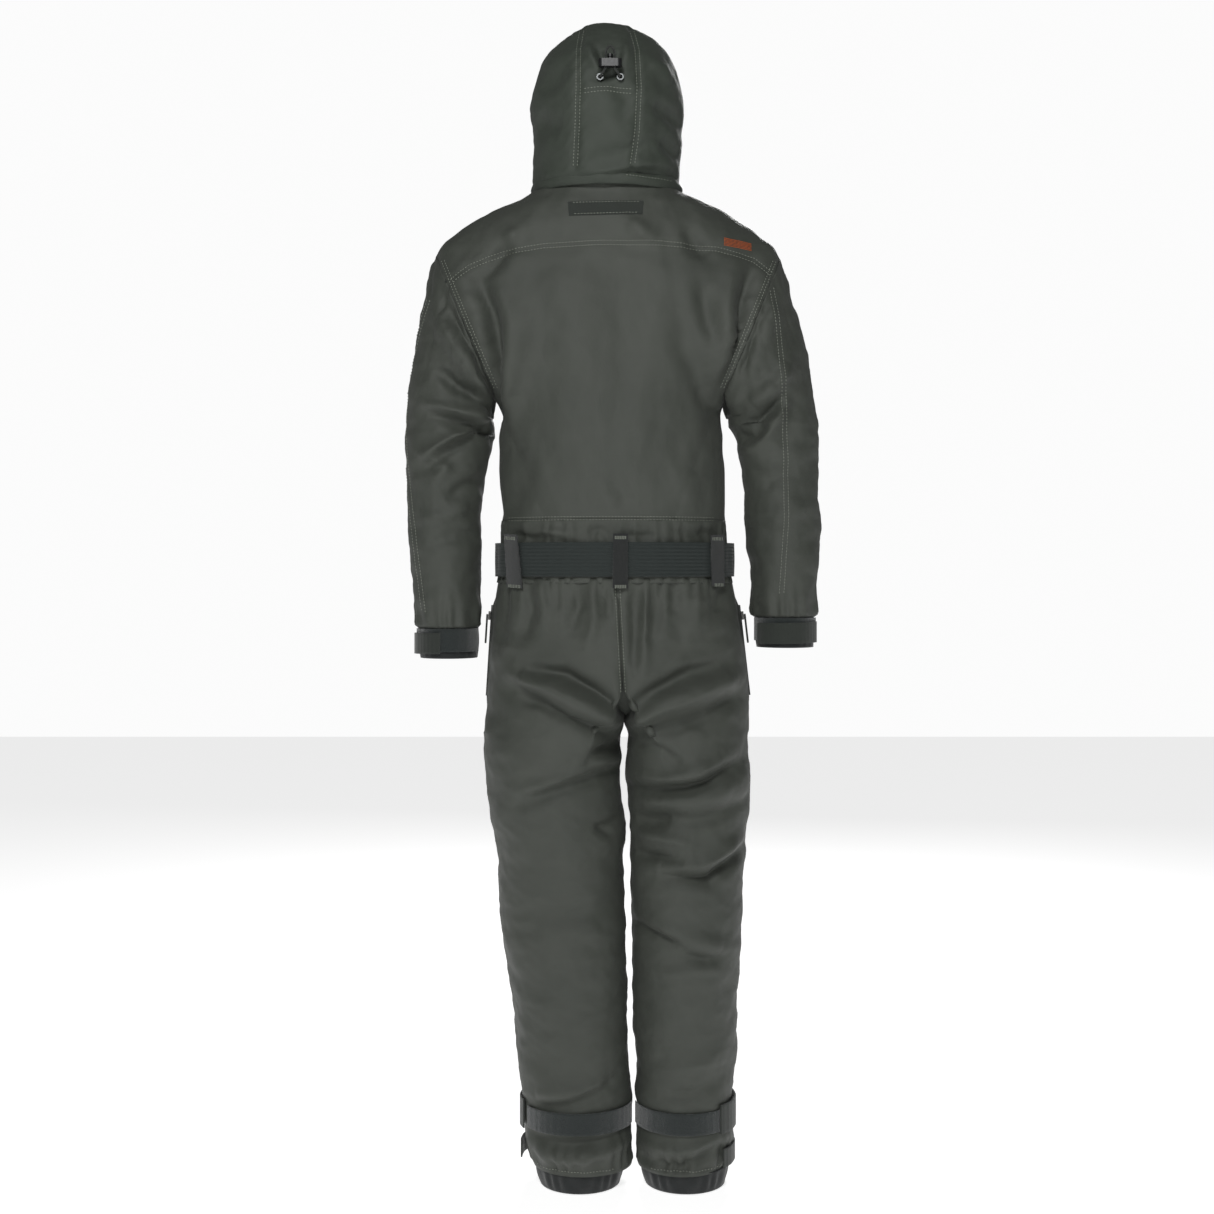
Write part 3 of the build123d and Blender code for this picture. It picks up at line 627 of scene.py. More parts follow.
sleeves = {}
for side, label in sideNames.items():
    centre, axis = armhole[side]
    rim = boundaryLoop(torso, lambda p: abs((p - centre).dot(axis)) < 0.016
                       and armholeLow - 0.004 < p.z < -0.02 and p.x * side > 0)
    upward = np.array([side * 0.384, 0, 0.923])
    spread = rim - np.array(centre)
    angles = np.arctan2(spread[:, 1], spread @ upward)
    order = np.argsort(angles)
    ring = np.linspace(0, 2 * pi, sleeveSpec["around"], endpoint=False)
    wrapped = (ring + pi) % (2 * pi) - pi
    loop = np.stack([np.interp(wrapped, angles[order], rim[order, i], period=2 * pi) for i in range(3)], 1)
    joinZ = sleeveSpec["joinZ"] - side * 0.008
    lowRing = sleeveRing(side, np.full(len(ring), joinZ), ring)
    cuffZ = -0.637 - side * 0.008
    outer = np.clip(0.5 + 0.5 * np.cos(ring), 0, 1)[:, None]
    down = np.array([0, 0, -1.0])[None]
    leave = np.array(axis)[None] * (0.055 * outer + 0.012) + down * (0.17 * outer + 0.02)
    arrive = down * (0.22 * outer + 0.03)

    def sleevePlace(u, v):
        step = np.round(u * sleeveSpec["around"]).astype(int) % sleeveSpec["around"]
        cap = sleeveSpec["capRows"] / (sleeveSpec["capRows"] + sleeveSpec["lowRows"])
        t = np.clip(v / cap, 0, 1)[:, None]
        upper = ((2 * t**3 - 3 * t**2 + 1) * loop[step] + (t**3 - 2 * t**2 + t) * leave[step]
                 + (3 * t**2 - 2 * t**3) * lowRing[step] + (t**3 - t**2) * arrive[step])
        share = np.clip((v - cap) / (1 - cap), 0, 1)
        lower = sleeveRing(side, joinZ + (cuffZ - joinZ) * share, ring[step], -0.0006)
        return np.where((v <= cap)[:, None], upper, lower)

    sleeve = gridPiece(label + "Sleeve", sleeveSpec["around"], sleeveSpec["capRows"] + sleeveSpec["lowRows"],
                       sleevePlace)
    turnOut(sleeve, (side * 0.25, suit["midY"], -0.4))

    def sleeveKeep(points):
        reach = (points - np.array(centre)) @ np.array(axis)
        return easeStep(reach / 0.012) * easeStep((points[:, 2] - cuffZ) / 0.012)

    pressFolds(sleeve, leftSleeveFolds if side > 0 else rightSleeveFolds, strength=3.0, keep=sleeveKeep)
    ruffle(sleeve, sleeveSpec["puff"], 0.075, stretch=(1, 1, 1.25), seed=11.7 + side, keep=sleeveKeep)
    ruffle(sleeve, 0.0017, 0.024, stretch=(0.8, 0.8, 1.3), seed=5.2 + side, keep=sleeveKeep)
    points, out = coords(sleeve), normals(sleeve)
    reach = (points - np.array(centre)) @ np.array(axis)
    swell = 0.0026 * np.exp(-(((reach - 0.02) / 0.015) ** 2))
    rise = points[:, 2] - cuffZ
    gather = np.exp(-((rise / 0.035) ** 2)) * easeStep(rise / 0.004)
    turn = np.arctan2(points[:, 1] - suit["midY"], points[:, 0] - (side * 0.252 + lean(points[:, 2])))
    swell = np.where(points[:, 2] > -0.33, swell * (0.7 + 0.5 * np.sin(turn * 13)), 0)
    swell += gather * (0.0022 + 0.0020 * np.sin(turn * 15 + 2 * np.sin(turn * 4)))
    moveTo(sleeve, points + out * swell[:, None])
    sleeves[side] = sleeve
    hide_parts("sleeve_" + label)
print("sleeves made")

# Trousers: each half is a D at the hip and a round leg below the crotch
legRows = [
    (-0.640, 0.097, 0.114, -0.070), (-0.700, 0.097, 0.114, -0.069), (-0.777, 0.0975, 0.112, -0.068),
    (-0.904, 0.096, 0.104, -0.070), (-0.994, 0.0904, 0.096, -0.070), (-1.084, 0.0885, 0.092, -0.070),
    (-1.204, 0.0825, 0.086, -0.070), (-1.294, 0.0795, 0.080, -0.070), (-1.354, 0.076, 0.077, -0.070),
    (-1.414, 0.0746, 0.075, -0.070), (-1.442, 0.070, 0.071, -0.070),
]
legSpec = {"around": 200, "down": 212, "top": -0.572, "puff": 0.0052, "outerShare": 0.62,
           "part": (-0.715, -0.865)}


def halfSeam(z):
    # Where the two halves meet: the centre seam, and straight up above it
    return np.where(np.asarray(z) < -0.6, seamX(z), lean(z))


def legPoint(side, u, z, grow=0.0):
    outerShare = legSpec["outerShare"]
    outer = u < outerShare
    hip = curveThrough(torsoRows, z)
    turn = np.where(outer, u / outerShare, 1.0) * pi
    back = np.where(outer, 0.0, (u - outerShare) / (1 - outerShare))
    middle = halfSeam(z)
    wide = hip[:, 0] + grow + side * (lean(z) - middle)
    dX = middle + side * np.where(outer, wide * np.sin(turn), 0.0)
    deep = hip[:, 1] + grow
    centreY = frontLine(z) + hip[:, 1]
    dY = np.where(outer, centreY - deep * np.cos(turn), centreY + deep * (1 - 2 * back))
    leg = curveThrough(legRows, z)
    width, depth, y = leg[:, 0] * girth[side] + grow, leg[:, 1] + grow, leg[:, 2]
    spin = np.where(outer, np.radians(-112) + turn / pi * np.radians(224),
                    np.radians(112) + back * np.radians(136))
    lX = seamX(z) + side * (leg[:, 0] * girth[side] + suit["legGap"] / 2 + width * np.cos(spin))
    lY = y + depth * np.sin(spin)
    top, low = legSpec["part"]
    w = easeStep((top - z) / (top - low))
    return np.stack([dX * (1 - w) + lX * w, dY * (1 - w) + lY * w, z], 1)


legs = {}
for side, label in sideNames.items():
    def legPlace(u, v):
        z = legSpec["top"] + (suit["legLowZ"] - legSpec["top"]) * v
        return legPoint(side, u % 1.0, z, -0.0005)

    leg = gridPiece(label + "Leg", legSpec["around"], legSpec["down"], legPlace)
    turnOut(leg, (side * 0.1, -0.07, -1.05))
    bm = bmesh.new()
    bm.from_mesh(leg.data)
    wall = [f for f in bm.faces if f.calc_center_median().z > legSpec["part"][0]
            and all(abs(v.co.x - float(halfSeam(v.co.z))) < 0.0006 for v in f.verts)]
    bmesh.ops.delete(bm, geom=wall, context="FACES")
    bm.to_mesh(leg.data)
    bm.free()

    def legKeep(points):
        near = np.abs(points[:, 0] - seamX(points[:, 2]))
        seam = np.where(points[:, 2] > -0.74, easeStep(near / 0.008), 1.0)
        beside = np.exp(-(((points[:, 1] + 0.088) / 0.03) ** 2)) * (points[:, 2] > -0.8) * (near > 0.1)
        ends = easeStep((-0.565 - points[:, 2]) / 0.012) * easeStep((points[:, 2] - suit["legLowZ"]) / 0.01)
        return ends * seam * (1 - beside) * np.where(points[:, 2] > -0.72, frontCalm(points), 1.0)

    pressFolds(leg, trousersFolds, strength=2.6, keep=legKeep)
    ruffle(leg, legSpec["puff"], 0.095, stretch=(0.8, 0.8, 1.3), seed=21.3 + side * 2, keep=legKeep)
    ruffle(leg, 0.0018, 0.027, stretch=(0.8, 0.8, 1.2), seed=2.9 + side, keep=legKeep)
    points, out = coords(leg), normals(leg)
    turn = np.arctan2(points[:, 1] + 0.07, points[:, 0] - seamX(points[:, 2]) - side * 0.08)
    gather = (np.exp(-(((points[:, 2] + 1.425) / 0.022) ** 2)) * 0.0018
              * np.sin(turn * 19 + 2 * np.sin(turn * 5)))
    hipGather = (np.exp(-(((points[:, 2] + 0.575) / 0.045) ** 2)) * 0.0016
                 * np.sin(points[:, 0] * 330 + 2 * np.sin(points[:, 0] * 90)))
    valley = -0.004 * np.exp(-(((points[:, 0] - seamX(points[:, 2])) / 0.006) ** 2)) * (points[:, 2] > -0.76)
    points = points + out * ((gather + hipGather) * legKeep(points))[:, None]
    points[:, 1] += np.where(points[:, 1] > suit["hipY"], valley, 0)
    window = (easeStep((points[:, 2] + 0.775) / 0.03) * easeStep((-0.595 - points[:, 2]) / 0.02)
              * (np.abs(points[:, 0] - seamX(points[:, 2])) > 0.1))
    points[:, 0] += side * 0.0042 * window * np.exp(-(((points[:, 1] + 0.088) / 0.015) ** 4))
    moveTo(leg, points)
    seatZip(leg)
    legs[side] = leg
    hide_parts("leg_" + label, "seat_" + label)


def gussetPlace(u, v):
    # A saddle of cloth that closes the crotch between the two halves
    across, turn = (u - 0.5) * 2, v * pi
    z = -0.712 - 0.064 * np.sin(turn) - 0.012 * across**2
    return np.stack([seamX(z) + 0.030 * across, -0.068 + 0.114 * np.cos(turn), z], 1)


gusset = gridPiece("crotchGusset", 16, 70, gussetPlace)
turnOut(gusset, (-0.02, -0.068, -0.60))
ruffle(gusset, 0.0012, 0.03, seed=41.0)
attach(gusset, "torso")
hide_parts("crotch_gusset")
print("trousers made")

# Waistband behind the belt, gathered by its elastic
bandSpec = {"across": 250, "down": 26, "gathers": 74}


def bandPlace(u, v):
    z = -0.4855 + (-0.578 + 0.4855) * v
    grow = np.where(z > -0.5, 0.001, 0.0015)
    return torsoPoint(u * 2 * pi, z, grow)


band = gridPiece("waistBand", bandSpec["across"], bandSpec["down"], bandPlace)
turnOut(band, (0, suit["midY"], -0.53))
points, out = coords(band), normals(band)
turn = np.arctan2(points[:, 0] - lean(points[:, 2]), points[:, 1] - suit["midY"])
pleat = np.sin(turn * bandSpec["gathers"] / 2 + 1.7 * np.sin(turn * 9) + 1.1 * np.sin(turn * 23))
lift = 0.0014 * pleat * easeStep((-0.486 - points[:, 2]) / 0.006) * frontCalm(points) - 0.001
moveTo(band, points + out * lift[:, None])
pressFolds(band, bandFolds)
seatZip(band)
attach(band, "torso")
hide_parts("waistband_back")

# Hood: a padded dome, cut open at the face
hoodRows = [
    (0.0047, 0.110, 0.098, 0.022), (0.040, 0.110, 0.108, 0.040), (0.090, 0.112, 0.122, 0.052),
    (0.127, 0.117, 0.128, 0.056), (0.160, 0.111, 0.126, 0.052), (0.190, 0.101, 0.116, 0.042),
    (0.214, 0.084, 0.096, 0.024), (0.232, 0.062, 0.070, 0.0), (0.243, 0.034, 0.038, -0.032),
    (0.246, 0.008, 0.009, -0.061),
]
hoodSpec = {"across": 190, "down": 110, "faceY": -0.147, "puff": 0.0038}
hoodLevels = evenRows(hoodRows, 0.0052, 0.2459, 400)


def hoodPlace(grow):
    def place(u, v):
        z = np.interp(v, np.linspace(0, 1, 400), hoodLevels)
        row, turn = curveThrough(hoodRows, z), u * 2 * pi
        return np.stack([(row[:, 0] + grow) * np.sin(turn),
                         row[:, 2] - row[:, 1] - (row[:, 1] + grow) * np.cos(turn), z], 1)
    return place


hood = gridPiece("hoodShell", hoodSpec["across"], hoodSpec["down"], hoodPlace(-0.0006))
bm = bmesh.new()
bm.from_mesh(hood.data)
crown = [v for v in bm.verts if v.co.z > 0.2455]
bmesh.ops.pointmerge(bm, verts=crown, merge_co=(0, -0.07, 0.2462))
bmesh.ops.bisect_plane(bm, geom=bm.verts[:] + bm.edges[:] + bm.faces[:], plane_co=(0, hoodSpec["faceY"], 0),
                       plane_no=(0, -1, 0), clear_outer=True, dist=0.0001)
bmesh.ops.recalc_face_normals(bm, faces=bm.faces)
bm.to_mesh(hood.data)
bm.free()
turnOut(hood, (0, -0.06, 0.1))


def hoodKeep(points):
    return easeStep((points[:, 2] - 0.006) / 0.016) * easeStep((points[:, 1] - hoodSpec["faceY"]) / 0.014)


hoodSeams = {
    1: [(0.036, 0.235), (0.041, 0.19), (0.041, 0.13), (0.043, 0.07), (0.046, 0.02)],
    -1: [(-0.034, 0.235), (-0.043, 0.19), (-0.046, 0.13), (-0.043, 0.07), (-0.036, 0.02)],
}
pressFolds(hood, hoodFolds, strength=2.6, keep=hoodKeep)
ruffle(hood, hoodSpec["puff"], 0.07, seed=31.4, keep=hoodKeep)
ruffle(hood, 0.0013, 0.024, seed=14.1, keep=hoodKeep)
for stroke in hoodSeams.values():
    sewSeam(hood, stroke, depth=0.0026)
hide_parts("hood_left", "hood_centre", "hood_right")


def hemPlace(u, v):
    turn, rise = u * 2 * pi, v
    bulge = 0.0034 * np.sin(pi * v) + 0.0011 * np.sin(turn * 9 + 2 * np.sin(turn * 4)) * np.sin(pi * v)
    z = -0.0015 + 0.0195 * rise + 0.0026 * np.sin(turn * 5 + 1.3 * np.sin(turn * 3)) * v
    return np.stack([(0.1098 + bulge) * np.sin(turn),
                     -0.0765 - (0.0990 + 0.002 * v + bulge) * np.cos(turn), z], 1)


hoodHem = gridPiece("hoodHem", 190, 10, hemPlace)
bm = bmesh.new()
bm.from_mesh(hoodHem.data)
bmesh.ops.bisect_plane(bm, geom=bm.verts[:] + bm.edges[:] + bm.faces[:], plane_co=(0, -0.146, 0),
                       plane_no=(0, -1, 0), clear_outer=True, dist=0.0001)
bm.to_mesh(hoodHem.data)
bm.free()
turnOut(hoodHem, (0, -0.076, 0.008))
print("hood made")


# Trim and fastenings
torsoTree, hoodTree = surfaceOf(torso, band), surfaceOf(hood)
legTrees = {side: surfaceOf(legs[side]) for side in legs}
sleeveTrees = {side: surfaceOf(sleeves[side]) for side in sleeves}


def snap(tree, x, z, towards=1, lift=0.0):
    # The point on the cloth straight behind (or in front of) a spot, and which way it faces
    hit, facing, *_ = tree.ray_cast(Vector((x, 0.6 * towards, z)), Vector((0, -towards, 0)))
    if hit is None:
        return None
    return hit + facing * lift * (1 if facing.y * towards > 0 else -1), facing


def evenly(stroke, pitch):
    points = np.array(stroke, float)
    run = np.concatenate([[0], np.cumsum(np.hypot(*np.diff(points, axis=0).T))])
    at = np.arange(pitch * 0.5, run[-1], pitch)
    return np.stack([np.interp(at, run, points[:, i]) for i in range(2)], 1)


def stitchRow(bm, tree, stroke, towards=1, pitch=0.0046, long=0.0032, thick=0.00052, lift=0.0004):
    # Small flat thread dashes laid along a stroke, each turned to the cloth under it
    spots = [snap(tree, x, z, towards, lift) for x, z in evenly(stroke, pitch)]
    for before, here, after in zip(spots, spots[1:], spots[2:]):
        if not (before and here and after) or (after[0] - before[0]).length > pitch * 4:
            continue
        along = (after[0] - before[0]).normalized()
        up = here[1] if here[1].y * towards > 0 else -here[1]
        side = up.cross(along).normalized()
        frameOf = Matrix((along * long * 0.5, side * thick, along.cross(side) * thick)).transposed().to_4x4()
        frameOf.translation = here[0]
        bmesh.ops.create_icosphere(bm, subdivisions=1, radius=1, matrix=frameOf)


def shifted(stroke, off):
    points = np.array(stroke, float)
    d = np.gradient(points, axis=0)
    d /= np.hypot(*d.T)[:, None]
    return points + np.stack([-d[:, 1], d[:, 0]], 1) * off


def threadPiece(name, rows, material="thread"):
    bm = bmesh.new()
    for tree, stroke, towards in rows:
        stitchRow(bm, tree, stroke, towards)
    return dressed(newPiece(name, bm), finishes[material])


def doubled(tree, stroke, gap=0.0032, towards=1):
    return [(tree, shifted(stroke, gap), towards), (tree, shifted(stroke, -gap), towards)]


waistSeam = [(x, -0.4845) for x in np.linspace(-0.162, 0.166, 30)]
rows = doubled(torsoTree, yokeSeam) + doubled(torsoTree, waistSeam, 0.0022)
for side in (1, -1):
    rows += [(torsoTree, [(x - side * off, z) for x, z in fairSeam(side)], 1) for off in (0.006, 0.011)]
torsoThread = threadPiece("torsoTopStitch", rows)
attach(torsoThread, "torso")

hoodThread = threadPiece("hoodTopStitch", doubled(hoodTree, hoodSeams[1]) + doubled(hoodTree, hoodSeams[-1])
                         + [(surfaceOf(hoodHem), [(-0.022, 0.011), (-0.060, 0.010), (-0.100, 0.012)], 1)]
                         + [(hoodTree, [(-0.040, 0.128 - drop), (0.0, 0.130 - drop), (0.038, 0.127 - drop)], 1)
                            for drop in (0, 0.006)])
sleeveLines = {
    1: [(0.262, -0.155), (0.278, -0.20), (0.300, -0.28), (0.302, -0.36), (0.292, -0.45), (0.280, -0.55),
        (0.270, -0.625)],
    -1: [(-0.240, -0.14), (-0.250, -0.21), (-0.258, -0.30), (-0.262, -0.40), (-0.262, -0.50),
         (-0.256, -0.60)],
}
sleeveThreads, legThreads = {}, {}
hemStitchZ = -1.4365
for side, label in sideNames.items():
    sleeveThreads[side] = threadPiece(label + "SleeveTopStitch",
                                      doubled(sleeveTrees[side], sleeveLines[side]))
for side, label in sideNames.items():
    seatLine = [(seamX(z).item() + side * 0.0035, z) for z in np.linspace(-0.578, -0.752, 60)]
    hemMiddle = seamX(hemStitchZ).item() + side * (0.079 * girth[side] + 0.004)
    hemLine = [(hemMiddle + side * 0.068 * s, hemStitchZ) for s in np.linspace(-0.9, 0.9, 24)]
    legThreads[side] = threadPiece(label + "LegTopStitch",
                                   [(legTrees[side], line, 1) for line in (seatLine, hemLine)])
print("top stitching made")


# Bands that go round: collar, cuffs, hems, belt, tapes
def ringBand(name, centre, halves, low, high, around=160, rows=10, crown=0.0, ripple=0.0, waves=40):
    # An upright band between two heights, slightly crowned, with its wall thickness added later
    def place(u, v):
        z = low + (high - low) * v
        turn = u * 2 * pi
        puff = crown * np.sin(v * pi) + ripple * np.sin(turn * waves + 2 * np.sin(turn * 5)) * np.sin(v * pi)
        share = v[:, None]
        half = np.array(halves[0])[None] * (1 - share) + np.array(halves[1])[None] * share
        x = centre[0](z) if callable(centre[0]) else centre[0] + 0 * z
        return np.stack([x + (half[:, 0] + puff) * np.sin(turn),
                         centre[1] - (half[:, 1] + puff) * np.cos(turn), z], 1)
    piece = gridPiece(name, around, rows, place)
    turnOut(piece, (float(coords(piece)[:, 0].mean()), centre[1], (low + high) / 2))
    return piece


collar = ringBand("collarBand", (0.0, -0.078), ((0.0995, 0.0845), (0.0995, 0.0845)), 0.0055, 0.0295,
                  crown=0.0016, ripple=0.0006, waves=22)
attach(collar, "torso")
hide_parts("collar")

beltLow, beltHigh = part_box("belt")
beltCentre = (beltLow + beltHigh) / 2
belt = ringBand("elasticBelt", (beltCentre.x, beltCentre.y),
                (((beltHigh.x - beltLow.x) / 2 - 0.0003, (beltHigh.y - beltLow.y) / 2 - 0.0003),) * 2,
                beltLow.z + 0.0002, beltHigh.z - 0.0002, around=260, rows=20, ripple=0.0007, waves=37)
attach(belt, "torso")
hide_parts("belt")
cuffSpecs = {1: {"high": -0.644, "low": -0.690}, -1: {"high": -0.628, "low": -0.674}}
cuffs, hems = {}, {}
for side, label in sideNames.items():
    high, low = cuffSpecs[side]["high"], cuffSpecs[side]["low"]
    middle = side * 0.252
    cuffs[side] = ringBand(label + "Cuff", (lambda z, m=middle: m + lean(z), suit["midY"]),
                           ((0.0425, 0.0485), (0.0446, 0.0506)), low, high + 0.003,
                           around=130, rows=16, crown=0.0008, ripple=0.0012, waves=15)
    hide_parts("cuff_" + label)
    shift = side * (0.0746 * girth[side] + suit["legGap"] / 2)
    hems[side] = ringBand(label + "HemBand", (lambda z, m=shift: m + seamX(z), suit["hipY"]),
                          ((0.0595, 0.0615), (0.0664, 0.0664)), -1.4715, -1.4415,
                          around=150, rows=14, crown=0.0006, ripple=0.0013, waves=18)
    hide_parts("hem_band_" + label)
print("bands made")


def patchOn(name, tree, corners, lift, towards=1, steps=(16, 10), thick=0.0016):
    # A small four-cornered piece of tape or webbing laid on the cloth
    a, b, c, d = (np.array(p, float) for p in corners)

    def place(u, v):
        u, v = u[:, None], v[:, None]
        flat = (a * (1 - u) + b * u) * (1 - v) + (d * (1 - u) + c * u) * v
        spots = []
        for x, z in flat:
            found = snap(tree, x, z, towards, 0.0)
            spots.append(tuple(found[0] + Vector((0, towards * lift, 0))) if found else (x, np.nan, z))
        spots = np.array(spots)
        bad = np.isnan(spots[:, 1])
        spots[bad, 1] = np.nanmean(spots[:, 1]) if (~bad).any() else 0
        return spots
    piece = gridPiece(name, steps[0], steps[1], place)
    bm = bmesh.new()
    bm.from_mesh(piece.data)
    if sum(f.normal.y for f in bm.faces) * towards < 0:
        bmesh.ops.reverse_faces(bm, faces=bm.faces)
    for _ in range(4):
        inner = [v for v in bm.verts if not v.is_boundary]
        bmesh.ops.smooth_vert(bm, verts=inner, factor=0.5, use_axis_y=True)
    bm.to_mesh(piece.data)
    bm.free()
    thicken(piece, thick, 1.0)
    edge = piece.modifiers.new("edge", "BEVEL")
    edge.width, edge.segments, edge.limit_method = 0.0004, 2, "ANGLE"
    return piece


# Belt loops stand over the belt, each bar-tacked at both ends
loopSpecs = [
    {"name": "beltLoopCentre",
     "corners": [(-0.030, -0.507), (-0.009, -0.507), (-0.008, -0.585), (-0.030, -0.585)]},
    {"name": "beltLoopLeft",
     "corners": [(0.130, -0.508), (0.151, -0.506), (0.146, -0.584), (0.122, -0.586)]},
    {"name": "beltLoopRight",
     "corners": [(-0.171, -0.508), (-0.150, -0.508), (-0.152, -0.583), (-0.172, -0.583)]},
]
loopBand = ringBand("loopGuide", (beltCentre.x, beltCentre.y),
                    (((beltHigh.x - beltLow.x) / 2 + 0.0034, (beltHigh.y - beltLow.y) / 2 + 0.0034),) * 2,
                    -0.59, -0.50, around=200, rows=8)
loopTree = surfaceOf(loopBand)
bpy.data.objects.remove(loopBand)
tackRows = bmesh.new()
for spec in loopSpecs:
    for towards, tag in ((1, ""), (-1, "Front")):
        if tag and spec["name"] == "beltLoopCentre":
            continue
        strip = patchOn(spec["name"] + tag, loopTree, spec["corners"], 0.0, towards=towards, steps=(8, 22),
                        thick=0.0013)
        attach(strip, "torso")
        dressed(strip, finishes["zip_tape"])
        if tag:
            continue
        (xa, za), (xb, zb), (xc, zc), (xd, zd) = spec["corners"]
        for low, high in (((xa, za - 0.004), (xb, zb - 0.004)), ((xd, zd + 0.004), (xc, zc + 0.004))):
            for step in range(4):
                drop = step * 0.0012
                stitchRow(tackRows, loopTree, [(low[0], low[1] - drop), (high[0], high[1] - drop)], 1,
                          pitch=0.0024, long=0.0024, lift=0.0017)
barTacks = dressed(newPiece("beltLoopTacks", tackRows), finishes["thread"])
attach(barTacks, "torso")
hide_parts("belt_loops")

# Neck patch and the plain stitched bar on the right shoulder
patchCorners = [(0.057, -0.027), (-0.053, -0.025), (-0.051, -0.046), (0.055, -0.048)]
patch = patchOn("neckPatch", torsoTree, patchCorners, 0.0006, steps=(40, 10), thick=0.0012)
dressed(patch, finishes["tab_fabric"])
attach(patch, "torso")
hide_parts("neck_patch")
patchEdge = bmesh.new()
for stroke in ([(0.0545, -0.0290), (-0.0505, -0.0270)], [(0.0525, -0.0462), (-0.0485, -0.0442)]):
    stitchRow(patchEdge, torsoTree, stroke, 1, lift=0.0021)
patchEdge = dressed(newPiece("neckPatchStitch", patchEdge), finishes["thread"])
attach(patchEdge, "torso")
badge = bmesh.new()
for row in range(6):
    z = -0.0745 - 0.0021 * row
    stitchRow(badge, torsoTree, [(-0.168, z - 0.001), (-0.214, z - 0.0065)], 1,
              pitch=0.0021, long=0.0024, thick=0.0007, lift=0.0004)
badge = dressed(newPiece("shoulderBar", badge), finishes["accent"])
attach(badge, "torso")


# Tapes round the cuffs and calves, with the tabs that close them
def wrapStrip(name, centre, halves, angles, low, high, side, gap, thick, steps=(60, 8), tilt=0.0, wave=0.0):
    def place(u, v):
        turn = np.radians(angles[0] + (angles[1] - angles[0]) * u)
        z = low + (high - low) * v + tilt * (u - 0.5)
        ripple = wave * np.sin(turn * 14 + 1.3 * np.sin(turn * 31))
        return np.stack([centre[0] + side * (halves[0] + gap + ripple) * np.cos(turn),
                         centre[1] + (halves[1] + gap + ripple) * np.sin(turn), z], 1)
    piece = gridPiece(name, steps[0], steps[1], place)
    turnOut(piece, (centre[0], centre[1], (low + high) / 2))
    thicken(piece, thick, 1.0)
    edge = piece.modifiers.new("edge", "BEVEL")
    edge.width, edge.segments, edge.limit_method = 0.0004, 2, "ANGLE"
    return piece


tapes, tabs = {}, {}
wristHalf = (0.045, 0.051)
for side, label in sideNames.items():
    high = -0.636 - side * 0.008
    wrist = (side * 0.252 + float(lean(-0.636)), suit["midY"])
    tapes["cuff", side] = wrapStrip(label + "CuffTape", wrist, wristHalf, (10, 170),
                                    high - 0.036, high - 0.002, side, 0.0008, 0.0012, wave=0.00015)
    tabs["cuff", side] = wrapStrip(label + "CuffTab", wrist, wristHalf, (-30, 82) if side > 0 else (22, 150),
                                   high - 0.0395, high - 0.0085, side, 0.0030, 0.0022,
                                   tilt=0.002 * side, wave=0.0002)
    calfX = float(seamX(-1.365)) + side * (0.076 * girth[side] + suit["legGap"] / 2)
    calf = (calfX, suit["hipY"])
    calfHalf = (0.076 * girth[side], 0.077)
    tapes["calf", side] = wrapStrip(label + "CalfTape", calf, calfHalf, (27 if side > 0 else 12, 172),
                                    -1.381, -1.349, side, 0.0011, 0.0012, steps=(90, 8), wave=0.0002)
    tabs["calf", side] = wrapStrip(label + "CalfTab", calf, calfHalf, (-55, 22) if side > 0 else (-20, 48),
                                   -1.3845, -1.3415, side, 0.0032, 0.0024, wave=0.00022)
    tabs["hem", side] = wrapStrip(label + "HemTab", calf, calfHalf, (-60, 5) if side > 0 else (-5, 42),
                                  -1.4355, -1.4085, side, 0.0018, 0.0024, wave=0.00022)
    for part, node in (("cuff", "cuff"), ("calf", "calf")):
        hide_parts(f"{node}_tape_{label}")
        dressed(tapes[part, side], finishes["loop_tape"])
    for part in ("cuff", "calf", "hem"):
        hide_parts(f"{part}_tab_{label}")
        dressed(tabs[part, side], finishes["tab_fabric"])
        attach(tabs[part, side], f"{label}_{part}_tab")
    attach(tapes["cuff", side], label + "_arm")
    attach(tapes["calf", side], label + "_leg")
    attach(cuffs[side], label + "_arm")
    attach(hems[side], label + "_leg")
    0.0785 * pi * (145 if side > 0 else 160) / 180
    spread = {"cuff": 112 if side > 0 else 128, "calf": 77 if side > 0 else 68, "hem": 65 if side > 0 else 47}
    reach = {"cuff": 0.0515, "calf": 0.0815, "hem": 0.080}
    for part in ("cuff", "calf", "hem"):
        reach[part] * pi * spread[part] / 180
print("tapes and tabs made")

# Cord in the hood: out of one eyelet, up through the lock and back into the other
cordSpec = {"diameter": 0.003, "length": 0.1229, "exit": (0.010, 0.046, 0.143)}
cordRoute = [(0.010, 0.046, 0.143), (0.0094, 0.064, 0.144), (0.0015, 0.0655, 0.152), (0.0015, 0.0655, 0.167),
             (0.0021, 0.066, 0.177), (-0.0045, 0.0655, 0.186), (-0.0111, 0.065, 0.177), (-0.0105, 0.0655, 0.167),
             (-0.0105, 0.0655, 0.152), (-0.0184, 0.064, 0.144), (-0.019, 0.046, 0.143)]
line = bpy.data.curves.new("hoodCord", "CURVE")
line.dimensions = "3D"
line.bevel_depth, line.bevel_resolution, line.resolution_u = cordSpec["diameter"] / 2, 4, 16
spline = line.splines.new("NURBS")
spline.points.add(len(cordRoute) - 1)
for point, place in zip(spline.points, cordRoute):
    point.co = (*place, 1)
spline.order_u, spline.use_endpoint_u = 3, True
hoodCord = bpy.data.objects.new("hoodCord", line)
bpy.context.scene.collection.objects.link(hoodCord)
dressed(hoodCord, finishes["cord"])
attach(hoodCord, "hood")
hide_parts("hood_cord")
print("cord made")
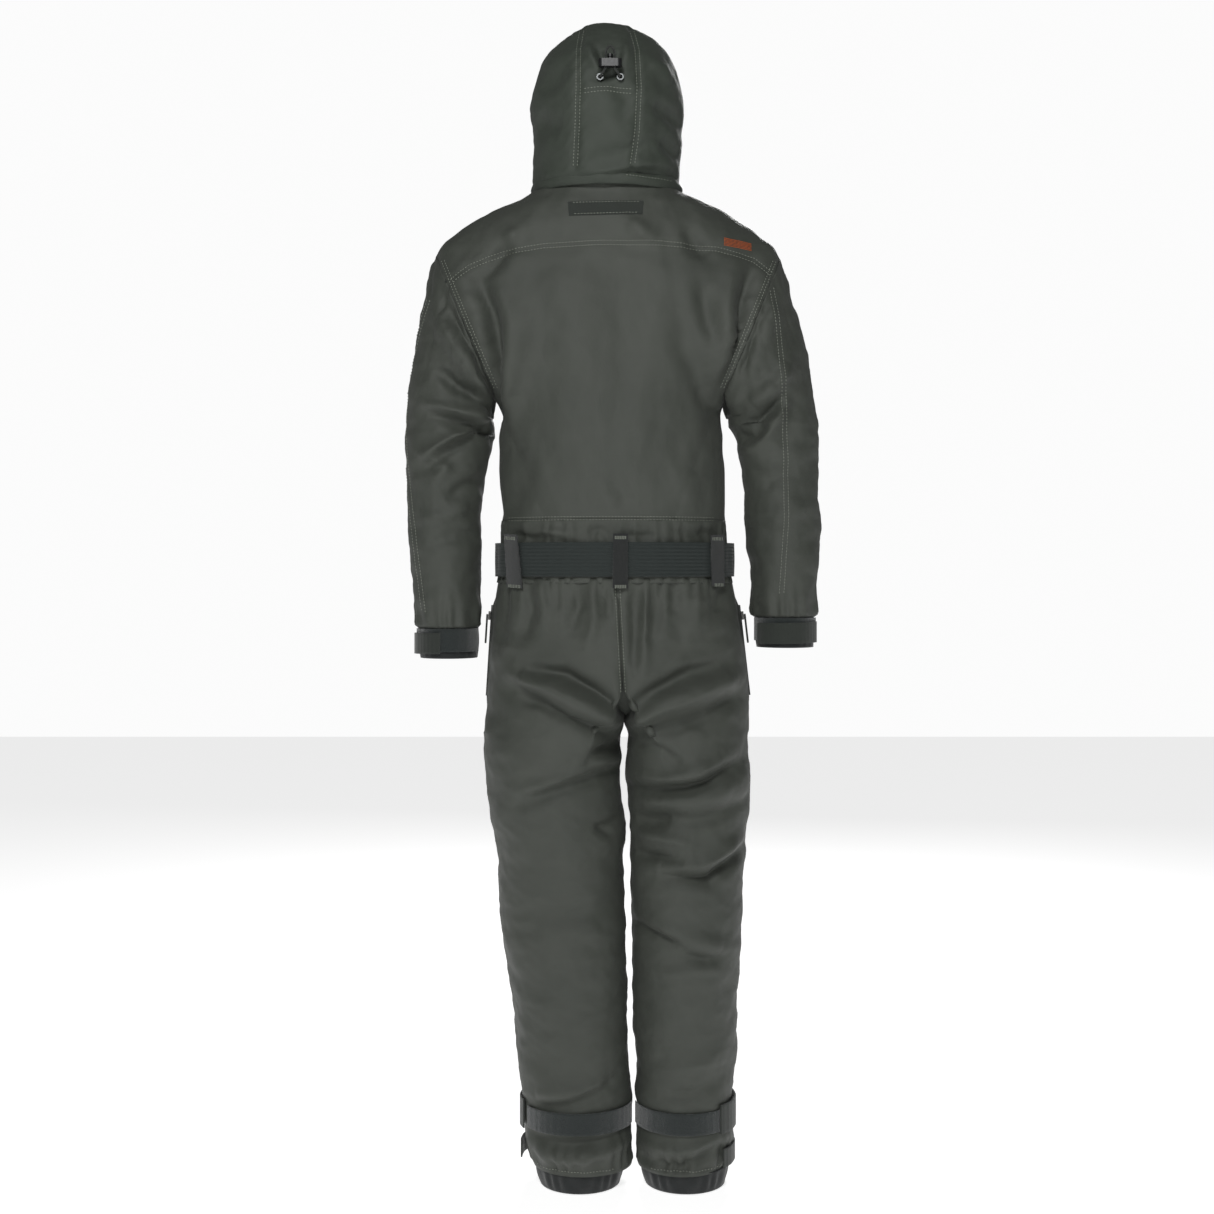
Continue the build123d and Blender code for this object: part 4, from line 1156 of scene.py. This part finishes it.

# Linings (the torso lining follows the torso), wall thickness, finishes, and transforms baked into the sleeves,
# legs and hood
def liningOf(piece, name, inset):
    lining = piece.copy()
    lining.data = piece.data.copy()
    lining.name = lining.data.name = name
    for key in list(lining.keys()):
        del lining[key]
    lining.parent = None
    lining.matrix_world = Matrix.Identity(4)
    bpy.context.scene.collection.objects.link(lining)
    bpy.context.view_layer.update()
    moveTo(lining, coords(lining) - normals(lining) * inset)
    bm = bmesh.new()
    bm.from_mesh(lining.data)
    bmesh.ops.reverse_faces(bm, faces=bm.faces)
    bm.to_mesh(lining.data)
    bm.free()
    return dressed(lining, finishes["lining"])


torsoLining = liningOf(torso, "torsoLining", suit["wall"] + 0.0006)
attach(torsoLining, "torso")
hoodLining = liningOf(hood, "hoodLining", suit["wall"] + 0.0006)
for piece in (torso, hood, *sleeves.values(), *legs.values()):
    thicken(piece, suit["wall"])
for piece in (band, gusset, collar, hoodHem, *cuffs.values(), *hems.values()):
    thicken(piece, 0.0035)
thicken(belt, 0.0022)
for piece in (torso, *sleeves.values(), *legs.values(), band, gusset):
    dressed(piece, finishes["shell"])
for piece in (hood, hoodHem, collar):
    dressed(piece, finishes["hood"])
dressed(belt, finishes["elastic"])
for piece in (*cuffs.values(), *hems.values()):
    dressed(piece, finishes["hem_black"])

for side, label in sideNames.items():
    centre, axis = armhole[side]
    for piece in (sleeves[side], sleeveThreads[side]):
        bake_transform(piece)
    for piece in (legs[side], legThreads[side]):
        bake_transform(piece)
for piece in (hood, hoodHem, hoodLining, hoodThread):
    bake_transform(piece)

for name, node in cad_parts.items():
    if node.hide_render:
        continue
    for place, old in enumerate(node.data.materials):
        node.data.materials[place] = finishes[old.name.split(".")[0]]
print("finishes given out")

# Studio
floorZ = min(cadLow[2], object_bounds()[0][2]) - 0.001
bm = bmesh.new()
bmesh.ops.create_grid(bm, x_segments=2, y_segments=2, size=6, matrix=Matrix.Translation((0, -1, floorZ)))
floor = newPiece("studioFloor", bm)
paper = Finish("studioPaper")
grain = paper.node("ShaderNodeTexNoise", Scale=3.0, Detail=3.0)
paper.set(Base_Color=(0.6, 0.6, 0.6, 1), Roughness=grain * 0.1 + 0.75, Emission_Color=(1, 1, 1, 1),
          Emission_Strength=0.78)
floor.data.materials.append(paper.material)
floor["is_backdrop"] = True

world = bpy.data.worlds.new("studioAir")
world.use_nodes = True
air = world.node_tree
sky = air.nodes["Background"]
sky.inputs[0].default_value, sky.inputs[1].default_value = (1, 1, 1, 1), 0.07
white = air.nodes.new("ShaderNodeBackground")
white.inputs[0].default_value, white.inputs[1].default_value = (1, 1, 1, 1), 0.97
seen, chosen = air.nodes.new("ShaderNodeLightPath"), air.nodes.new("ShaderNodeMixShader")
air.links.new(seen.outputs["Is Camera Ray"], chosen.inputs[0])
air.links.new(sky.outputs[0], chosen.inputs[1])
air.links.new(white.outputs[0], chosen.inputs[2])
air.links.new(chosen.outputs[0], air.nodes["World Output"].inputs[0])
bpy.context.scene.world = world

lampSpecs = [
    {"name": "backSoftbox", "at": (0.35, 2.5, 1.15), "size": 0.8, "power": 51, "aim": (0, 0, -0.6)},
    {"name": "lowSoftbox", "at": (-0.2, 2.9, -0.9), "size": 1.2, "power": 10, "aim": (0, 0, -1.0)},
    {"name": "frontSoftbox", "at": (-0.35, -2.6, 0.9), "size": 1.1, "power": 58, "aim": (0, 0, -0.6)},
]
for spec in lampSpecs:
    lamp = bpy.data.lights.new(spec["name"], "AREA")
    lamp.size, lamp.energy = spec["size"], spec["power"]
    fitting = bpy.data.objects.new(spec["name"], lamp)
    fitting.location = spec["at"]
    fitting.rotation_euler = (Vector(spec["aim"]) - Vector(spec["at"])).to_track_quat("-Z", "Y").to_euler()
    bpy.context.scene.collection.objects.link(fitting)

lens = bpy.data.cameras.new("backView")
lens.lens, lens.sensor_width, lens.shift_y = 51.4, 36, -0.030
camera = bpy.data.objects.new("backView", lens)
camera.location, camera.rotation_euler = (0, 2.524, -0.560), (pi / 2, 0, pi)
bpy.context.scene.collection.objects.link(camera)
bpy.context.scene.camera = camera
bpy.context.scene.view_settings.view_transform = "Standard"
print("studio ready")

low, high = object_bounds()
